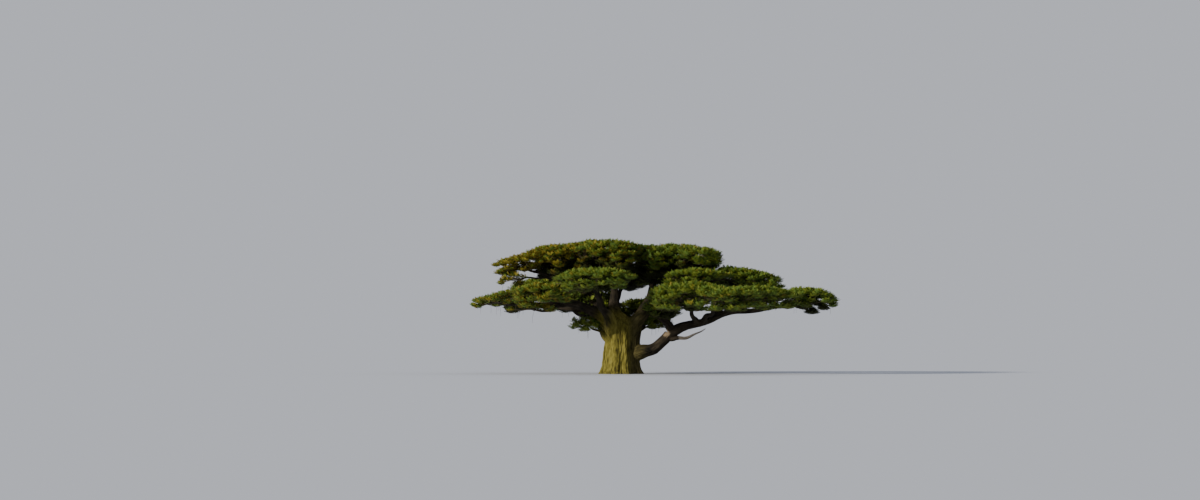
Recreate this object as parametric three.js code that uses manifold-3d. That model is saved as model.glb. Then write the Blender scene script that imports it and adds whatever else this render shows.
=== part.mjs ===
// A flat-topped umbrella thorn, about 9.6 m tall and 26 m across: a short fluted trunk, boughs that
// rise and level out, and a wide crown in tiers. Each tier is several masses of foliage.
// Millimetres, +Z up, origin at the middle of the flat cut at ground level. +X runs along the long
// side of the crown, and the side that is seen first faces -Y.
import * as THREE from "three";
import { mergeVertices } from "three/addons/utils/BufferGeometryUtils.js";
import Module from "manifold-3d";

const wasm = await Module();
wasm.setup();

// Driving dimensions. Tables of places are in metres, and M turns them into millimetres.
const M = 1000;
const CLEARANCE = 0.3;

const TRUNK = {
  halfWidth: 1.17 * M,
  halfDepth: 1.05 * M,
  shoulder: 3.3 * M,
  top: 5.0 * M,
  flare: 0.3,
  flareHeight: 0.4 * M,
  forkSwell: 0.08,
  lobes: [
    { count: 4, depth: 0.07, phase: 0.6 },
    { count: 7, depth: 0.045, phase: 2.0 },
    { count: 11, depth: 0.025, phase: 0.9 },
  ],
  twist: 0.25, // radians from foot to top
  lean: 0.5 * M, // how far its top stands to the left, all of it above "leanFrom"
  leanFrom: 2.8 * M,
  rings: 16,
  sides: 36,
};

// A limb starts at a point inside the trunk, or at a share of its parent's length. It leaves climbing
// at "climb" degrees, comes level to "level" degrees and ends at its tip, where a mass begins. It is
// "thick" in radius at its start and "thin" at its tip.
const bough = (name, start, tip, climb, level, thick, thin) =>
  ({ name, start, tip, climb, level, thick, thin });
const LIMBS = [
  bough("right_bough_root", [0.3, -0.15, 1.25], [3.35, -0.5, 2.8], 8, 60, 0.4, 0.33),
  bough("right_bough", ["right_bough_root", 1], [11.3, -1.0, 4.75], 28, 7, 0.32, 0.1),
  bough("crown_centre_limb", ["right_bough", 0.04], [2.1, -1.3, 4.8], 56, 52, 0.24, 0.14),
  bough("right_front_inner_limb", ["right_bough", 0.27], [4.5, -3.3, 4.75], 34, 14, 0.17, 0.09),
  bough("right_front_limb", ["right_bough", 0.33], [6.6, -4.5, 4.6], 22, 10, 0.18, 0.1),
  bough("right_front_outer_limb", ["right_bough", 0.42], [8.8, -2.9, 4.65], 24, 6, 0.17, 0.09),
  bough("right_upper_limb", ["right_bough", 0.46], [8.1, 0.9, 6.1], 52, 34, 0.17, 0.09),
  bough("right_back_limb", ["right_bough", 0.38], [7.9, 4.2, 5.2], 28, 12, 0.18, 0.1),
  bough("crown_right_bough", [0.4, -0.1, 2.5], [4.3, -0.9, 6.3], 64, 24, 0.42, 0.13),
  bough("top_right_bough", [0.45, 0.3, 2.4], [2.6, 1.9, 7.3], 52, 70, 0.44, 0.16),
  bough("top_right_outer_limb", ["top_right_bough", 0.6], [4.9, 1.4, 7.5], 44, 30, 0.2, 0.1),
  bough("centre_back_limb", ["top_right_bough", 0.2], [1.4, 1.9, 4.3], 34, 8, 0.14, 0.08),
  bough("top_bough", [-0.15, 0.25, 2.4], [-0.8, 0.8, 7.7], 82, 74, 0.42, 0.15),
  bough("top_left_bough", [-0.4, 0.15, 2.4], [-3.7, 2.0, 7.5], 62, 44, 0.44, 0.14),
  bough("top_left_outer_limb", ["top_left_bough", 0.6], [-6.2, 1.2, 7.2], 36, 10, 0.18, 0.09),
  bough("top_left_drooping_limb", ["top_left_outer_limb", 0.66], [-7.2, 0.35, 6.6], -8, -16, 0.08, 0.05),
  bough("left_bough", [-0.65, -0.15, 3.2], [-7.7, -1.4, 4.85], 72, 2, 0.38, 0.1),
  bough("left_front_limb", ["left_bough", 0.38], [-4.9, -2.5, 5.1], 26, 10, 0.18, 0.09),
  bough("left_low_limb", ["left_bough", 0.52], [-5.5, -1.9, 4.35], -8, 4, 0.12, 0.07),
  bough("left_back_limb", ["left_bough", 0.3], [-6.2, 2.1, 4.8], 14, 4, 0.19, 0.09),
  bough("left_inner_bough", [-0.5, -0.35, 2.4], [-1.9, -3.3, 5.9], 60, 34, 0.4, 0.13),
  bough("left_under_limb", ["left_bough", 0.16], [-2.0, 1.3, 4.6], 48, 20, 0.16, 0.08),
  bough("back_left_bough", [-0.4, 0.3, 2.3], [-4.7, 4.6, 5.4], 46, 18, 0.42, 0.13),
  bough("back_bough", [-0.05, 0.4, 2.3], [-1.8, 5.8, 5.2], 46, 14, 0.42, 0.13),
  bough("back_upper_limb", ["back_bough", 0.45], [0.3, 4.6, 6.35], 56, 34, 0.22, 0.11),
  bough("back_right_bough", [0.4, 0.35, 2.3], [3.6, 5.3, 5.7], 44, 22, 0.42, 0.13),
  bough("low_left_limb", [-0.5, 0.1, 2.35], [-1.9, 0.35, 3.1], 34, 12, 0.13, 0.07),
  bough("low_right_limb", [0.5, 0.3, 2.35], [1.85, 1.0, 3.3], 36, 16, 0.14, 0.07),
  bough("dead_branch", ["right_bough_root", 0.92], [5.85, -1.2, 3.15], -16, 36, 0.17, 0.025),
];
const LIMB = {
  sides: { stout: 8, slim: 6, stoutFrom: 0.3 * M },
  steps: 7,
  leave: 0.3, // the two handles of the sweep, as shares of the straight line from start to tip
  arrive: 0.36,
  crook: 0.025,
  collar: 0.25,
};

// A mass is a cushion of foliage over its limb's tip, flat below and domed above. "at" is the middle
// of its underside, "reach" its half length and half width, "crest" how far its dome stands over its
// rim, and "slope" its rise per metre towards +X.
const cushion = (name, limbName, at, reach, crest, slope) =>
  ({ name, limbName, at, reach, crest, slope });
const MASSES = [
  cushion("foliage_top_left_tip", "top_left_outer_limb", [-7.0, 1.0, 7.3], [2.35, 2.3], 0.85, 0.09),
  cushion("foliage_top_left_hanging", "top_left_drooping_limb", [-7.5, 0.2, 6.4], [1.1, 1.0], 0.55, 0.1),
  cushion("foliage_top_left", "top_left_bough", [-4.1, 2.3, 7.45], [3.0, 3.1], 1.5, 0.05),
  cushion("foliage_top", "top_bough", [-0.9, 0.7, 7.6], [3.0, 3.2], 1.6, 0),
  cushion("foliage_top_right", "top_right_bough", [2.7, 2.4, 7.25], [2.9, 3.1], 1.65, 0),
  cushion("foliage_top_right_tip", "top_right_outer_limb", [5.3, 1.2, 7.45], [2.2, 2.8], 1.3, 0),
  cushion("foliage_right_upper", "crown_right_bough", [5.1, -1.5, 6.3], [2.7, 2.4], 0.8, 0),
  cushion("foliage_right_shoulder", "right_upper_limb", [8.8, 1.2, 6.2], [3.2, 3.0], 1.0, -0.14),
  cushion("foliage_right_front_inner", "right_front_inner_limb", [4.2, -4.9, 4.75], [2.7, 2.8], 1.3, 0),
  cushion("foliage_right_front", "right_front_limb", [7.2, -6.3, 4.7], [3.0, 2.9], 1.0, 0),
  cushion("foliage_right_front_outer", "right_front_outer_limb", [9.9, -3.9, 4.75], [2.7, 2.8], 1.0, 0),
  cushion("foliage_right_tip", "right_bough", [13.0, -1.0, 4.7], [2.3, 2.4], 1.1, -0.05),
  cushion("foliage_right_back", "right_back_limb", [8.9, 5.5, 5.3], [3.1, 3.0], 1.25, 0),
  cushion("foliage_centre", "crown_centre_limb", [3.0, -1.9, 4.65], [1.4, 1.7], 0.9, 0),
  cushion("foliage_centre_back", "centre_back_limb", [1.6, 2.4, 4.2], [2.1, 1.5], 0.75, 0),
  cushion("foliage_left_inner", "left_inner_bough", [-1.9, -4.6, 6.05], [3.2, 2.9], 1.0, 0.04),
  cushion("foliage_left", "left_front_limb", [-5.5, -3.3, 5.15], [2.8, 2.3], 0.9, 0.1),
  cushion("foliage_left_tip", "left_bough", [-8.8, -1.7, 4.72], [2.05, 2.0], 0.6, 0.1),
  cushion("foliage_left_low", "left_low_limb", [-6.3, -2.2, 4.3], [2.3, 1.7], 0.45, 0),
  cushion("foliage_left_back", "left_back_limb", [-7.4, 3.2, 4.8], [2.6, 2.6], 0.8, 0),
  cushion("foliage_left_under", "left_under_limb", [-2.5, 1.9, 4.55], [1.9, 1.7], 0.7, 0),
  cushion("foliage_back_left", "back_left_bough", [-5.6, 6.0, 5.5], [2.8, 2.8], 1.1, 0),
  cushion("foliage_back", "back_bough", [-2.1, 7.3, 5.35], [2.6, 2.8], 1.2, 0),
  cushion("foliage_back_upper", "back_upper_limb", [0.8, 5.6, 6.35], [2.8, 2.7], 1.0, 0),
  cushion("foliage_back_right", "back_right_bough", [4.4, 6.8, 5.85], [3.0, 2.9], 1.0, 0),
  cushion("foliage_low_left", "low_left_limb", [-2.3, 0.5, 3.1], [1.35, 1.2], 0.75, 0),
  cushion("foliage_low_right", "low_right_limb", [2.4, 1.3, 3.3], [1.25, 1.2], 0.5, 0),
];
const FOLIAGE = {
  layer: 0.75 * M, // how far over its dome, and under its rim, a mass claims room for leaves
  coreShare: 0.84, // of the mass's reach
  belly: 0.15 * M,
  coreSectors: 12,
  coreRough: 0.08, // how far the core's rim and top go in and out, as a share
  ribs: 4,
  ribSpan: [0.6, 0.95], // of the mass's reach
  ribGirth: [0.05 * M, 0.02 * M],
  leavesPerSquareMetre: 0.52,
  leafLength: [0.55 * M, 0.3], // a length, plus a share of the mass's mean reach
  leafWidthShare: 0.5,
  leafThickShare: 0.07,
  farthest: 1.18, // the nearness of the farthest leaf
  shyness: 0.06, // the least difference of nearness between two masses' leaves
  limbMargin: 0.12 * M, // between a leaf or twig and a limb, measured at stations along the limb
  limbStations: 16,
  meanRim: 0.95, // the outline's share of the mass's reach, before its waves
  rimWaves: [
    { count: 2, depth: 0.05, phase: 1 },
    { count: 3, depth: 0.05, phase: 2.3 },
    { count: 5, depth: 0.04, phase: 1.7 },
  ],
};
const GOLDEN_ANGLE = Math.PI * (3 - Math.sqrt(5));

// Colours as seen in daylight.
const BARK = { color: 0x6a5f45, roughness: 0.95, metalness: 0 };
const LEAF = { color: 0x5a6b22, roughness: 0.75, metalness: 0 };

// A repeatable stream of numbers from 0 to 1: the Lehmer generator.
function randomStream(seed) {
  let state = seed;
  return () => {
    state = (state * 16807) % 2147483647;
    return state / 2147483647;
  };
}

const metres = ([x, y, z]) => new THREE.Vector3(x * M, y * M, z * M);

// Closed solids and back

function solidOf(points, triangles) {
  const geometry = new THREE.BufferGeometry();
  const numbers = points.flatMap((p) => p.toArray());
  geometry.setAttribute("position", new THREE.Float32BufferAttribute(numbers, 3));
  geometry.setIndex(triangles.flat());
  const merged = mergeVertices(geometry, 1e-3);
  return new wasm.Manifold(
    new wasm.Mesh({
      numProp: 3,
      vertProperties: merged.attributes.position.array,
      triVerts: new Uint32Array(merged.index.array),
    }),
  );
}

function geometryOf(solid) {
  const mesh = solid.getMesh();
  const geometry = new THREE.BufferGeometry();
  geometry.setAttribute("position", new THREE.BufferAttribute(new Float32Array(mesh.vertProperties), 3));
  geometry.setIndex(new THREE.BufferAttribute(new Uint32Array(mesh.triVerts), 1));
  geometry.computeVertexNormals();
  return geometry;
}

// Skins a stack of rings that all have the same number of points, and closes both ends.
function ringSolid(rings) {
  const sides = rings[0].length;
  const triangles = [];
  for (let r = 0; r + 1 < rings.length; r++) {
    for (let s = 0; s < sides; s++) {
      const a = r * sides + s;
      const b = r * sides + ((s + 1) % sides);
      triangles.push([a, b, b + sides], [a, b + sides, a + sides]);
    }
  }
  const last = (rings.length - 1) * sides;
  for (let s = 1; s + 1 < sides; s++) {
    triangles.push([0, s + 1, s], [last, last + s, last + s + 1]);
  }
  return solidOf(rings.flat(), triangles);
}

// A round bar along a curve, whose radius at each share of its length is girth(share). Its two ends
// reach "over" beyond the curve.
function barSolid(curve, girth, sides, steps, over = 0) {
  const frames = curve.computeFrenetFrames(steps);
  const rings = [];
  for (let i = 0; i <= steps; i++) {
    const beyond = i === 0 ? -over : i === steps ? over : 0;
    const centre = curve.getPointAt(i / steps).addScaledVector(frames.tangents[i], beyond);
    const radius = girth(i / steps);
    const ring = [];
    for (let s = 0; s < sides; s++) {
      const angle = (2 * Math.PI * s) / sides;
      ring.push(
        centre
          .clone()
          .addScaledVector(frames.normals[i], radius * Math.cos(angle))
          .addScaledVector(frames.binormals[i], radius * Math.sin(angle)),
      );
    }
    rings.push(ring);
  }
  return ringSolid(rings);
}

// The trunk is fused stems, so its section is lobed. It flares at the foot, swells at the fork, leans
// left above its middle and closes over in a dome between the boughs.

// How far up the dome a height is: 0 up to the shoulder and 1 at the top.
function trunkDome(z) {
  return Math.max(0, (z - TRUNK.shoulder) / (TRUNK.top - TRUNK.shoulder));
}

// The trunk's girth at a height and a bearing, as a share of its girth at breast height.
function trunkScale(angle, z) {
  const flare = TRUNK.flare * Math.exp(-z / TRUNK.flareHeight);
  const swell = TRUNK.forkSwell * THREE.MathUtils.smoothstep(z, 0.55 * TRUNK.shoulder, TRUNK.shoulder);
  const dome = Math.sqrt(Math.max(0.03, 1 - trunkDome(z) ** 2));
  const turned = angle + TRUNK.twist * (z / TRUNK.top);
  const lobe = ({ count, depth, phase }) => depth * Math.cos(count * turned + phase);
  return (1 + flare + swell) * dome * TRUNK.lobes.reduce((sum, each) => sum + lobe(each), 1);
}

function trunkSolid(extra = 0) {
  const rings = [];
  for (let i = 0; i <= TRUNK.rings; i++) {
    const z = (TRUNK.top * i) / TRUNK.rings;
    const lean = TRUNK.lean * THREE.MathUtils.smoothstep(z, TRUNK.leanFrom, TRUNK.top);
    const ring = [];
    for (let s = 0; s < TRUNK.sides; s++) {
      const angle = (2 * Math.PI * s) / TRUNK.sides;
      const scale = trunkScale(angle, z);
      ring.push(
        new THREE.Vector3(
          (TRUNK.halfWidth * scale + extra) * Math.cos(angle) - lean,
          (TRUNK.halfDepth * scale + extra) * Math.sin(angle),
          z + extra * trunkDome(z),
        ),
      );
    }
    rings.push(ring);
  }
  return ringSolid(rings);
}

// Boughs and limbs

// A cubic sweep from start to tip that leaves and arrives at the limb's own angles, with the slight
// crook of an old bough laid over it.
class LimbCurve extends THREE.Curve {
  constructor(limb, start, seed) {
    super();
    const tip = metres(limb.tip);
    const span = tip.clone().sub(start);
    const bearing = Math.atan2(span.y, span.x);
    const heading = (degrees) => {
      const angle = THREE.MathUtils.degToRad(degrees);
      return new THREE.Vector3(
        Math.cos(bearing) * Math.cos(angle),
        Math.sin(bearing) * Math.cos(angle),
        Math.sin(angle),
      );
    };
    const leave = start.clone().addScaledVector(heading(limb.climb), LIMB.leave * span.length());
    const arrive = tip.clone().addScaledVector(heading(limb.level), -LIMB.arrive * span.length());
    this.sweep = new THREE.CubicBezierCurve3(start, leave, arrive, tip);
    this.side = new THREE.Vector3(-Math.sin(bearing), Math.cos(bearing), 0);
    this.crook = LIMB.crook * span.length();
    this.phase = 1.7 * seed;
  }

  getPoint(t, target = new THREE.Vector3()) {
    const envelope = this.crook * Math.sin(Math.PI * t);
    this.sweep.getPoint(t, target);
    target.addScaledVector(this.side, envelope * Math.sin(3.3 * Math.PI * t + this.phase));
    target.z += 0.7 * envelope * Math.sin(4.1 * Math.PI * t + 2 * this.phase);
    return target;
  }
}

const limbCurves = new Map();
LIMBS.forEach((limb, index) => {
  const [parent, share] = limb.start;
  const start = limbCurves.has(parent) ? limbCurves.get(parent).getPoint(share) : metres(limb.start);
  limbCurves.set(limb.name, new LimbCurve(limb, start, index + 1));
});

// A limb tapers evenly from a swollen collar where it leaves its parent.
function limbGirth(limb) {
  const [thick, thin] = [limb.thick * M, limb.thin * M];
  const collarLength = (2.5 * thick) / limbCurves.get(limb.name).getLength();
  const collar = (share) => LIMB.collar * Math.exp(-share / collarLength);
  return (share) => thin + (thick - thin) * (1 - share + collar(share));
}

// The limb, made wider by "extra" and longer by "over" at each end.
function limbSolid(limb, extra = 0, over = 0) {
  const girth = limbGirth(limb);
  const sides = girth(0) > LIMB.sides.stoutFrom ? LIMB.sides.stout : LIMB.sides.slim;
  return barSolid(limbCurves.get(limb.name), (share) => girth(share) + extra, sides, LIMB.steps, over);
}

function boxesMeet(one, other) {
  const a = one.boundingBox();
  const b = other.boundingBox();
  return [0, 1, 2].every((k) => a.min[k] < b.max[k] && b.min[k] < a.max[k]);
}

// What is left of a solid round others. A cut can leave loose scraps, so its largest body is kept.
function fitRound(solid, stops) {
  const rest = stops.reduce((left, stop) => (boxesMeet(left, stop) ? left.subtract(stop) : left), solid);
  return rest.decompose().sort((a, b) => b.volume() - a.volume())[0];
}

// Every limb is fitted round the trunk and round the limbs before it, with the clearance between.
function fittedLimbs() {
  const fitted = new Map();
  const stops = [trunkSolid(CLEARANCE)];
  for (const limb of LIMBS) {
    fitted.set(limb.name, fitRound(limbSolid(limb), stops));
    stops.push(limbSolid(limb, CLEARANCE, CLEARANCE));
  }
  return fitted;
}

// Masses of foliage

// How far out a plan point is in a mass: 0 at its middle and 1 on its rim.
function planShare(mass, x, y) {
  const [across, along] = [x / M - mass.at[0], y / M - mass.at[1]];
  return Math.hypot(across / mass.reach[0], along / mass.reach[1]);
}

// The heights of a mass's flat underside and of its dome over a plan point.
function underside(mass, x) {
  return mass.at[2] * M + mass.slope * (x - mass.at[0] * M);
}

function domeHeight(mass, x, y) {
  const share = Math.min(1.15, planShare(mass, x, y));
  return underside(mass, x) + mass.crest * M * (1 - share ** 3);
}

// How near a point is to a mass, with 1 on the mass's rim. A point belongs to the mass that it is
// nearest to.
function nearness(mass, p) {
  const [low, high] = [underside(mass, p.x), domeHeight(mass, p.x, p.y)];
  const half = 0.5 * Math.max(0, high - low) + FOLIAGE.layer;
  return Math.hypot(planShare(mass, p.x, p.y), (p.z - 0.5 * (low + high)) / half);
}

function belongsTo(mass, p) {
  const own = nearness(mass, p);
  const nearest = (other) => other === mass || nearness(other, p) > own + FOLIAGE.shyness;
  return own < FOLIAGE.farthest && MASSES.every(nearest);
}

// The mass's uneven outline: how far it reaches along a bearing from its middle. It stops short of
// its neighbours, as crowns do.
function outline(mass, bearing) {
  const seed = 1 + MASSES.indexOf(mass) * 1.3;
  const ellipse = M / Math.hypot(Math.cos(bearing) / mass.reach[0], Math.sin(bearing) / mass.reach[1]);
  const wave = ({ count, depth, phase }) => depth * Math.sin(count * bearing + phase * seed);
  const full = ellipse * FOLIAGE.rimWaves.reduce((sum, each) => sum + wave(each), FOLIAGE.meanRim);
  const step = full / 24;
  let out = full / 4;
  while (out < full && belongsTo(mass, domePoint(mass, bearing, out + step, 0.5))) out += step;
  return out;
}

// The point on the dome that is "out" away from the middle along a bearing, or "depth" of the way
// down from there to the underside.
function domePoint(mass, bearing, out, depth = 0) {
  const x = mass.at[0] * M + out * Math.cos(bearing);
  const y = mass.at[1] * M + out * Math.sin(bearing);
  return new THREE.Vector3(x, y, THREE.MathUtils.lerp(domeHeight(mass, x, y), underside(mass, x), depth));
}

// The dense middle of a mass: a cushion with a lobed rim and an uneven top.
function coreSolid(mass, random) {
  const { coreSectors: sectors, coreShare, coreRough, belly } = FOLIAGE;
  const layers = [
    { share: 0.62, depth: 0, turn: 0.5 },
    { share: 1, depth: 0.5, turn: 0 },
    { share: 0.7, depth: 1, turn: 0.5 },
  ];
  const points = [domePoint(mass, 0, 0)];
  for (const { share, depth, turn } of layers) {
    for (let s = 0; s < sectors; s++) {
      const bearing = (2 * Math.PI * (s + turn)) / sectors;
      const lobe = 1 + coreRough * (s % 2 ? 1 : -1) + coreRough * (random() - 0.5);
      const point = domePoint(mass, bearing, share * coreShare * lobe * outline(mass, bearing), depth);
      point.z += belly * (random() - 0.5);
      points.push(point);
    }
  }
  points.push(domePoint(mass, 0, 0, 1));
  points.at(-1).z -= belly;
  const triangles = [];
  const end = points.length - 1;
  for (let s = 0; s < sectors; s++) {
    const next = (s + 1) % sectors;
    const [top, rim, under] = [1, 1 + sectors, 1 + 2 * sectors];
    triangles.push([0, top + s, top + next], [end, under + next, under + s]);
    triangles.push([top + s, rim + next, top + next], [top + s, rim + s, rim + next]);
    triangles.push([rim + s, under + s, rim + next], [under + s, under + next, rim + next]);
  }
  return solidOf(points, triangles);
}

// The stem carries on from the limb's tip into the core. Fitting it round the limb leaves the
// clearance between the two.
function stemSolid(mass) {
  const curve = limbCurves.get(mass.limbName);
  const heading = curve.getTangentAt(1);
  const foot = curve.getPointAt(1);
  const hub = domePoint(mass, 0, 0, 0.4);
  const bend = foot.clone().addScaledVector(heading, 0.45 * foot.distanceTo(hub));
  const thick = LIMBS.find((limb) => limb.name === mass.limbName).thin * M;
  const path = new THREE.QuadraticBezierCurve3(foot, bend, hub);
  return barSolid(path, (share) => thick * (1 - 0.45 * share), 5, 2);
}

// A twig with three sides, from a thick end to a thin one.
function twigSolid(from, to, thick, thin) {
  return barSolid(new THREE.LineCurve3(from, to), (share) => thick + (thin - thick) * share, 3, 1);
}

// A leaf stands for a whole spray: eight faces, pointed at both ends, thickest at its middle.
const LEAF_TRIANGLES = [
  [0, 2, 4], [0, 4, 3], [0, 3, 5], [0, 5, 2],
  [1, 4, 2], [1, 3, 4], [1, 5, 3], [1, 2, 5],
];

function leafPoints(root, heading, length, roll) {
  const up = Math.abs(heading.z) > 0.95 ? new THREE.Vector3(1, 0, 0) : new THREE.Vector3(0, 0, 1);
  const side = new THREE.Vector3().crossVectors(heading, up).normalize().applyAxisAngle(heading, roll);
  const face = new THREE.Vector3().crossVectors(side, heading);
  const middle = root.clone().addScaledVector(heading, 0.5 * length);
  const half = 0.5 * FOLIAGE.leafWidthShare * length;
  const thick = 0.5 * FOLIAGE.leafThickShare * length;
  return [
    root,
    root.clone().addScaledVector(heading, length),
    middle.clone().addScaledVector(side, half),
    middle.clone().addScaledVector(side, -half),
    middle.clone().addScaledVector(face, thick),
    middle.clone().addScaledVector(face, -thick),
  ];
}

// Whether the points of a leaf or twig all keep their distance from every limb.
function clearOfLimbs(points) {
  return LIMBS.every((limb) => {
    const girth = limbGirth(limb);
    const centres = limbCurves.get(limb.name).getSpacedPoints(FOLIAGE.limbStations);
    return centres.every((centre, i) => {
      const least = girth(i / FOLIAGE.limbStations) + FOLIAGE.limbMargin;
      return points.every((p) => p.distanceTo(centre) >= least);
    });
  });
}

// Twigs run out from the core towards the rim, and each carries two leaves.
function twigSolids(mass, random) {
  const twigs = [];
  const places = [];
  for (let k = 0; k < FOLIAGE.ribs; k++) {
    const bearing = (2 * Math.PI * (k + 0.3 + 0.4 * random())) / FOLIAGE.ribs;
    const reach = outline(mass, bearing);
    const [from, to] = FOLIAGE.ribSpan.map((share) => domePoint(mass, bearing, share * reach, 0.4));
    const along = [0.6, 0.8, 1].map((share) => from.clone().lerp(to, share));
    if (!along.every((p) => belongsTo(mass, p)) || !clearOfLimbs(along)) continue;
    twigs.push(twigSolid(from, to, ...FOLIAGE.ribGirth));
    places.push({ root: from.clone().lerp(to, 0.75), bearing: bearing + 0.5, rise: 6 });
    places.push({ root: from.clone().lerp(to, 0.6), bearing: bearing - 0.6, rise: 14 });
  }
  return { twigs, places };
}

// Leaves stand out of the core too, spread evenly over it by the golden angle, steeper in the middle
// and leaning outwards at the rim.
function corePlaces(mass, random) {
  const count = Math.round(Math.PI * mass.reach[0] * mass.reach[1] * FOLIAGE.leavesPerSquareMetre);
  return Array.from({ length: count }, (_, k) => {
    const bearing = k * GOLDEN_ANGLE;
    const share = Math.sqrt(0.08 + (0.92 * (k + 0.5)) / count);
    const out = 0.9 * share * FOLIAGE.coreShare * outline(mass, bearing);
    const root = domePoint(mass, bearing, out, 0.06 + 0.3 * share ** 3);
    return { root, bearing: bearing + 0.8 * (random() - 0.5), rise: 34 - 26 * share };
  });
}

// A leaf that has no room at its full length is made shorter, or left out.
function leafSolids(mass, places, random) {
  const [base, perReach] = FOLIAGE.leafLength;
  const longest = base + 0.5 * perReach * (mass.reach[0] + mass.reach[1]) * M;
  const leaves = [];
  for (const { root, bearing, rise } of places) {
    const angle = THREE.MathUtils.degToRad(rise + 14 * (random() - 0.5));
    const heading = new THREE.Vector3(
      Math.cos(bearing) * Math.cos(angle),
      Math.sin(bearing) * Math.cos(angle),
      Math.sin(angle),
    );
    const [length, roll] = [longest * (0.8 + 0.25 * random()), 1.8 * (random() - 0.5)];
    const points = [1, 0.75, 0.55]
      .map((share) => leafPoints(root, heading, share * length, roll))
      .find((tried) => tried.every((p) => belongsTo(mass, p)) && clearOfLimbs(tried));
    if (points) leaves.push(solidOf(points, LEAF_TRIANGLES));
  }
  return leaves;
}

// A mass keeps clear of the trunk and of every limb that runs through or past it.
function massSolid(mass) {
  const random = randomStream(1000 + 37 * MASSES.indexOf(mass));
  const { twigs, places } = twigSolids(mass, random);
  const leaves = leafSolids(mass, [...places, ...corePlaces(mass, random)], random);
  const whole = wasm.Manifold.union([coreSolid(mass, random), stemSolid(mass), ...twigs, ...leaves]);
  const limbs = LIMBS.map((limb) => limbSolid(limb, CLEARANCE, CLEARANCE));
  return fitRound(whole, [trunkSolid(CLEARANCE), ...limbs]);
}

// The tree

const bark = new THREE.MeshStandardMaterial(BARK);
const leaf = new THREE.MeshStandardMaterial(LEAF);

function node(name, solid, material) {
  const mesh = new THREE.Mesh(geometryOf(solid), material);
  mesh.name = name;
  return mesh;
}

const tree = new THREE.Group();
const wood = new THREE.Group();
const crown = new THREE.Group();
tree.add(wood, crown);

wood.add(node("trunk", trunkSolid(), bark));
for (const [name, solid] of fittedLimbs()) wood.add(node(name, solid, bark));
for (const mass of MASSES) crown.add(node(mass.name, massSolid(mass), leaf));

export default tree;
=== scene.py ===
"""An umbrella thorn with a short fluted trunk and a wide, flat crown in tiers.

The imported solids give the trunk, every bough and limb, and the place of every mass of foliage. The
wood gets its bark here, and each mass grows again from its limb's tip, down to the leaflets.
Metres, with +Z up, and the side that is seen first faces -Y.
"""

import bmesh
import bpy
import numpy as np
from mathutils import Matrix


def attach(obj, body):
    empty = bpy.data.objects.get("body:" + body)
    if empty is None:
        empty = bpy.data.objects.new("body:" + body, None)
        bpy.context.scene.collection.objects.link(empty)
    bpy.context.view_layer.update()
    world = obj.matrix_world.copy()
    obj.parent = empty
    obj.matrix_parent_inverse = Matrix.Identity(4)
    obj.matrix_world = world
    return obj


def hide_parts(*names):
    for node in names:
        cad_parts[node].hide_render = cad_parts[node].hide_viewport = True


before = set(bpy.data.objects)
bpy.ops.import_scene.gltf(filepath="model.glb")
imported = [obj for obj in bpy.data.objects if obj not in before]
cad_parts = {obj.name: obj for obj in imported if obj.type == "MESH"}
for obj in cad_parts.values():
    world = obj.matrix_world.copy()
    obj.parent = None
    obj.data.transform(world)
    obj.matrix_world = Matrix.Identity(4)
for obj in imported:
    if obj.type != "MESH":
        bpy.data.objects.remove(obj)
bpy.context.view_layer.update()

# The view
# The tree stands far off on level ground and is seen through a long lens, from the height of a
# standing eye. The lens is tipped up a little to take in the whole crown.
EYE = (-1.47, -168.0, 1.8)
LENS_MM, SENSOR_MM = 72.0, 36.0
TIPPED_UP = np.radians(2.34)
FARTHEST_SEEN = 2000.0
camera = bpy.data.objects.new("camera", bpy.data.cameras.new("camera"))
camera.data.lens = LENS_MM
camera.data.sensor_width = SENSOR_MM
camera.data.clip_end = FARTHEST_SEEN
camera.location = EYE
camera.rotation_euler = (np.pi / 2 + TIPPED_UP, 0, 0)
bpy.context.scene.collection.objects.link(camera)
bpy.context.scene.camera = camera

# The trunk
# Several stems grown into one: fluted from top to bottom, flared where the roots begin, and closed
# over in a dome at the fork. Its bark is rough, furrowed lengthwise and yellow-olive in the sun, with
# painted shade darkening the side away from the lamp.
TRUNK_HALF_WIDTH, TRUNK_HALF_DEPTH = 1.17, 1.05
TRUNK_SHOULDER, TRUNK_TOP = 3.3, 5.0
TRUNK_FLARE, TRUNK_FLARE_HEIGHT = 0.3, 0.4
TRUNK_FORK_SWELL, TRUNK_SWELLS_FROM = 0.06, 0.55 * TRUNK_SHOULDER
TRUNK_TWIST = 0.25
TRUNK_LEAN, TRUNK_LEAN_FROM = 0.5, 2.8
TRUNK_LOBES = ((4, 0.07, 0.6), (7, 0.045, 2.0), (11, 0.025, 0.9))
TRUNK_NECK, TRUNK_NECK_TO, TRUNK_DOME_END = 0.6, 0.7, 0.03
TRUNK_STEMS = (-171, -118, -62, -12, 37, 57, 107, 151)
TRUNK_STEM_SWELL, TRUNK_STEM_WIDTH, TRUNK_STEMS_FROM = 0.1, 0.22, 0.3
WAIST_HEIGHT, WAIST_WIDTH, WAIST_DEPTH = 2.7, 0.9, 0.11
TRUNK_FURROWS, FURROW_WIDTH = ((9, 0.06, 0.4), (14, 0.035, 1.7)), 0.3
FURROWS_WANDER = ((0.05, 1.7, 3), (0.025, 4.3, 5))
TRUNK_RIDGES, RIDGES_BREAK = ((37, 0.009, 1.1), (53, 0.007, 2.6)), (1.4, 5.1, 7)
TRUNK_KNOTS, TRUNK_KNOT_WAVES = 0.012, ((9, 6.3), (4, -4.7))
TRUNK_SIDES, TRUNK_ROWS = 96, 80
CUT_MARGIN = 0.4


def stacked(x, y, z):
    """Points or directions from their parts along X, Y and Z."""
    return np.stack(np.broadcast_arrays(x, y, z), axis=-1)


def all_round(count):
    """Even angles once round, as many as count."""
    return 2 * np.pi * np.arange(count) / count


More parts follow.
